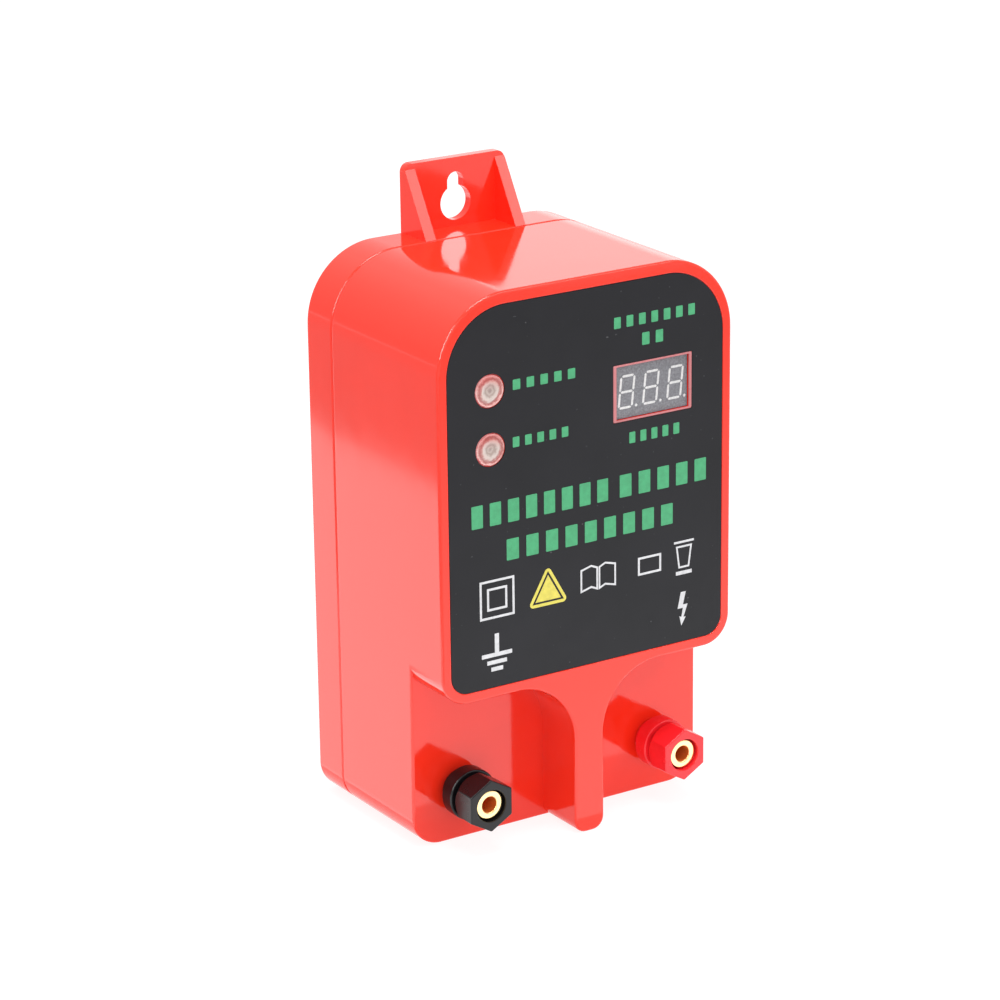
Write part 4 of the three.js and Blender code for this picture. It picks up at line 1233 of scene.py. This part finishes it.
CAMERA = {
    "azimuth": 32.857,
    "elevation": 18.689,
    "roll": -0.614,
    "target": Vector((0, 0, 80 * MM)),
    "distance": 979.7 * MM,
    "lens": 133.1,
    "shift": (-0.0202, 0.0125),
}


def direction(azimuth, elevation):
    """The way out from the case. Azimuth 0 is in front, 90 on the left."""
    a = math.radians(azimuth)
    e = math.radians(elevation)
    return Vector((-math.sin(a) * math.cos(e), -math.cos(a) * math.cos(e), math.sin(e)))


def camera():
    data = bpy.data.cameras.new("camera")
    data.lens = CAMERA["lens"]
    data.sensor_width = 36
    data.shift_x, data.shift_y = CAMERA["shift"]
    data.clip_start = 0.02
    data.clip_end = 50
    thing = bpy.data.objects.new("camera", data)
    back = direction(CAMERA["azimuth"], CAMERA["elevation"])
    thing.location = CAMERA["target"] + back * CAMERA["distance"]
    aim = (-back).to_track_quat("-Z", "Y").to_matrix().to_4x4()
    roll = Matrix.Rotation(math.radians(CAMERA["roll"]), 4, "Z")
    thing.rotation_euler = (aim @ roll).to_euler()
    bpy.context.scene.collection.objects.link(thing)
    bpy.context.scene.camera = thing


def softbox(name, azimuth, elevation, distance, width, height, power):
    """A soft light aimed at the middle of the case."""
    data = bpy.data.lights.new(name, "AREA")
    data.shape = "RECTANGLE"
    data.size = width
    data.size_y = height
    data.energy = power
    thing = bpy.data.objects.new(name, data)
    out = direction(azimuth, elevation)
    thing.location = Vector((0, 0, CASE_HEIGHT / 2)) + out * distance
    thing.rotation_euler = out.to_track_quat("Z", "Y").to_euler()
    thing.visible_camera = False
    bpy.context.scene.collection.objects.link(thing)


def floor_material():
    nodes = Nodes("floor")
    nodes.feed("Base Color", nodes.blend(nodes.noise(3, 3), (0.19, 0.19, 0.19), (0.21, 0.21, 0.21)))
    nodes.fixed(Roughness=0.8, IOR=1.1, Emission_Color=(1, 1, 1, 1), Emission_Strength=0.86)
    return nodes.material


def stage():
    """A plain pale floor, with cards that only reflections see, to shape the gloss."""
    mesh = bmesh.new()
    bmesh.ops.create_grid(mesh, x_segments=1, y_segments=1, size=6)
    ground = new_object("floor", mesh)
    dress(ground, floor_material())

    add_reflection_cards()


def add_reflection_cards():
    """Cards on the floor and beside the case, each for one group of faces."""
    flag_x = -0.211  # where the dim floor, seen in the upper side, meets the bright one
    front_x = -0.05
    label_y = -0.5  # the farthest place that the label reflects
    reflection_card("flag", flat_card(-1.6, flag_x, -0.3, 1.2), 0.6)
    reflection_card("near_card", flat_card(flag_x, front_x, -0.12, 1.2), 2.1)
    front_card = flat_card(front_x, 0.6, label_y, -0.04)
    reflection_card("front_card", front_card, 0.35, ("Y", label_y, -0.08, 2.1))
    reflection_card("tab_card", flat_card(0.3, 0.45, -0.66, label_y), 1.6)
    wall = [(-2.08, 1.2, 0), (0.21, 2.39, 0), (0.21, 2.39, 2.2), (-2.08, 1.2, 2.2)]
    reflection_card("back_wall", wall, 0.6, ("Z", 0.2, 1.7, 1.0))
    strip = [(-1.1, -0.5, 0.3), (-1.1, 0.0, 0.3), (-0.9, 0.0, 1.2), (-0.9, -0.5, 1.2)]
    reflection_card("edge_strip", strip, 13)


def flat_card(x0, x1, y0, y1):
    """The corners of a card that lies just above the floor."""
    z = 0.4 * MM
    return [(x0, y0, z), (x1, y0, z), (x1, y1, z), (x0, y1, z)]


def reflection_card(name, corners, glow, fade=None):
    """A glowing card that only reflections see. A fade runs along an axis, from one place to another."""
    mesh = bmesh.new()
    mesh.faces.new([mesh.verts.new(corner) for corner in corners])
    card = new_object(name, mesh)
    nodes = Nodes(name)
    nodes.feed("Emission Color", nodes.blend(nodes.noise(20), (0.96, 0.96, 0.96), (1, 1, 1)))
    nodes.fixed(Base_Color=(0, 0, 0, 1), Emission_Strength=glow)
    if fade:
        axis, start, end, end_glow = fade
        split = nodes.add("ShaderNodeSeparateXYZ")
        nodes.link(nodes.place, split.inputs[0])
        nodes.feed("Emission Strength", nodes.spread(split.outputs[axis], glow, end_glow, start, end))
    dress(card, nodes.material)
    card.visible_camera = False
    card.visible_diffuse = False
    card.visible_shadow = False


def light():
    world = bpy.data.worlds.new("studio")
    bpy.context.scene.world = world
    world.use_nodes = True
    background = world.node_tree.nodes["Background"]
    background.inputs["Color"].default_value = (1, 1, 1, 1)
    background.inputs["Strength"].default_value = 0.95
    softbox("top light", 20, 78, 0.9, 0.45, 0.35, 5.5)
    softbox("front light", 35, 28, 1.3, 0.6, 0.8, 2)
    softbox("right light", -35, 41, 1.2, 0.5, 0.35, 1.7)
    softbox("back light", 232, 18, 1.6, 1.2, 0.9, 2.5)
    view = bpy.context.scene.view_settings
    view.view_transform = "Standard"
    view.look = "None"


finish_cad_nodes()
camera()
stage()
light()
front_housing()
rear_cover()
face_label()
printing()
display_lip()
display_digits()
lamps()
terminals()
cover_screws()
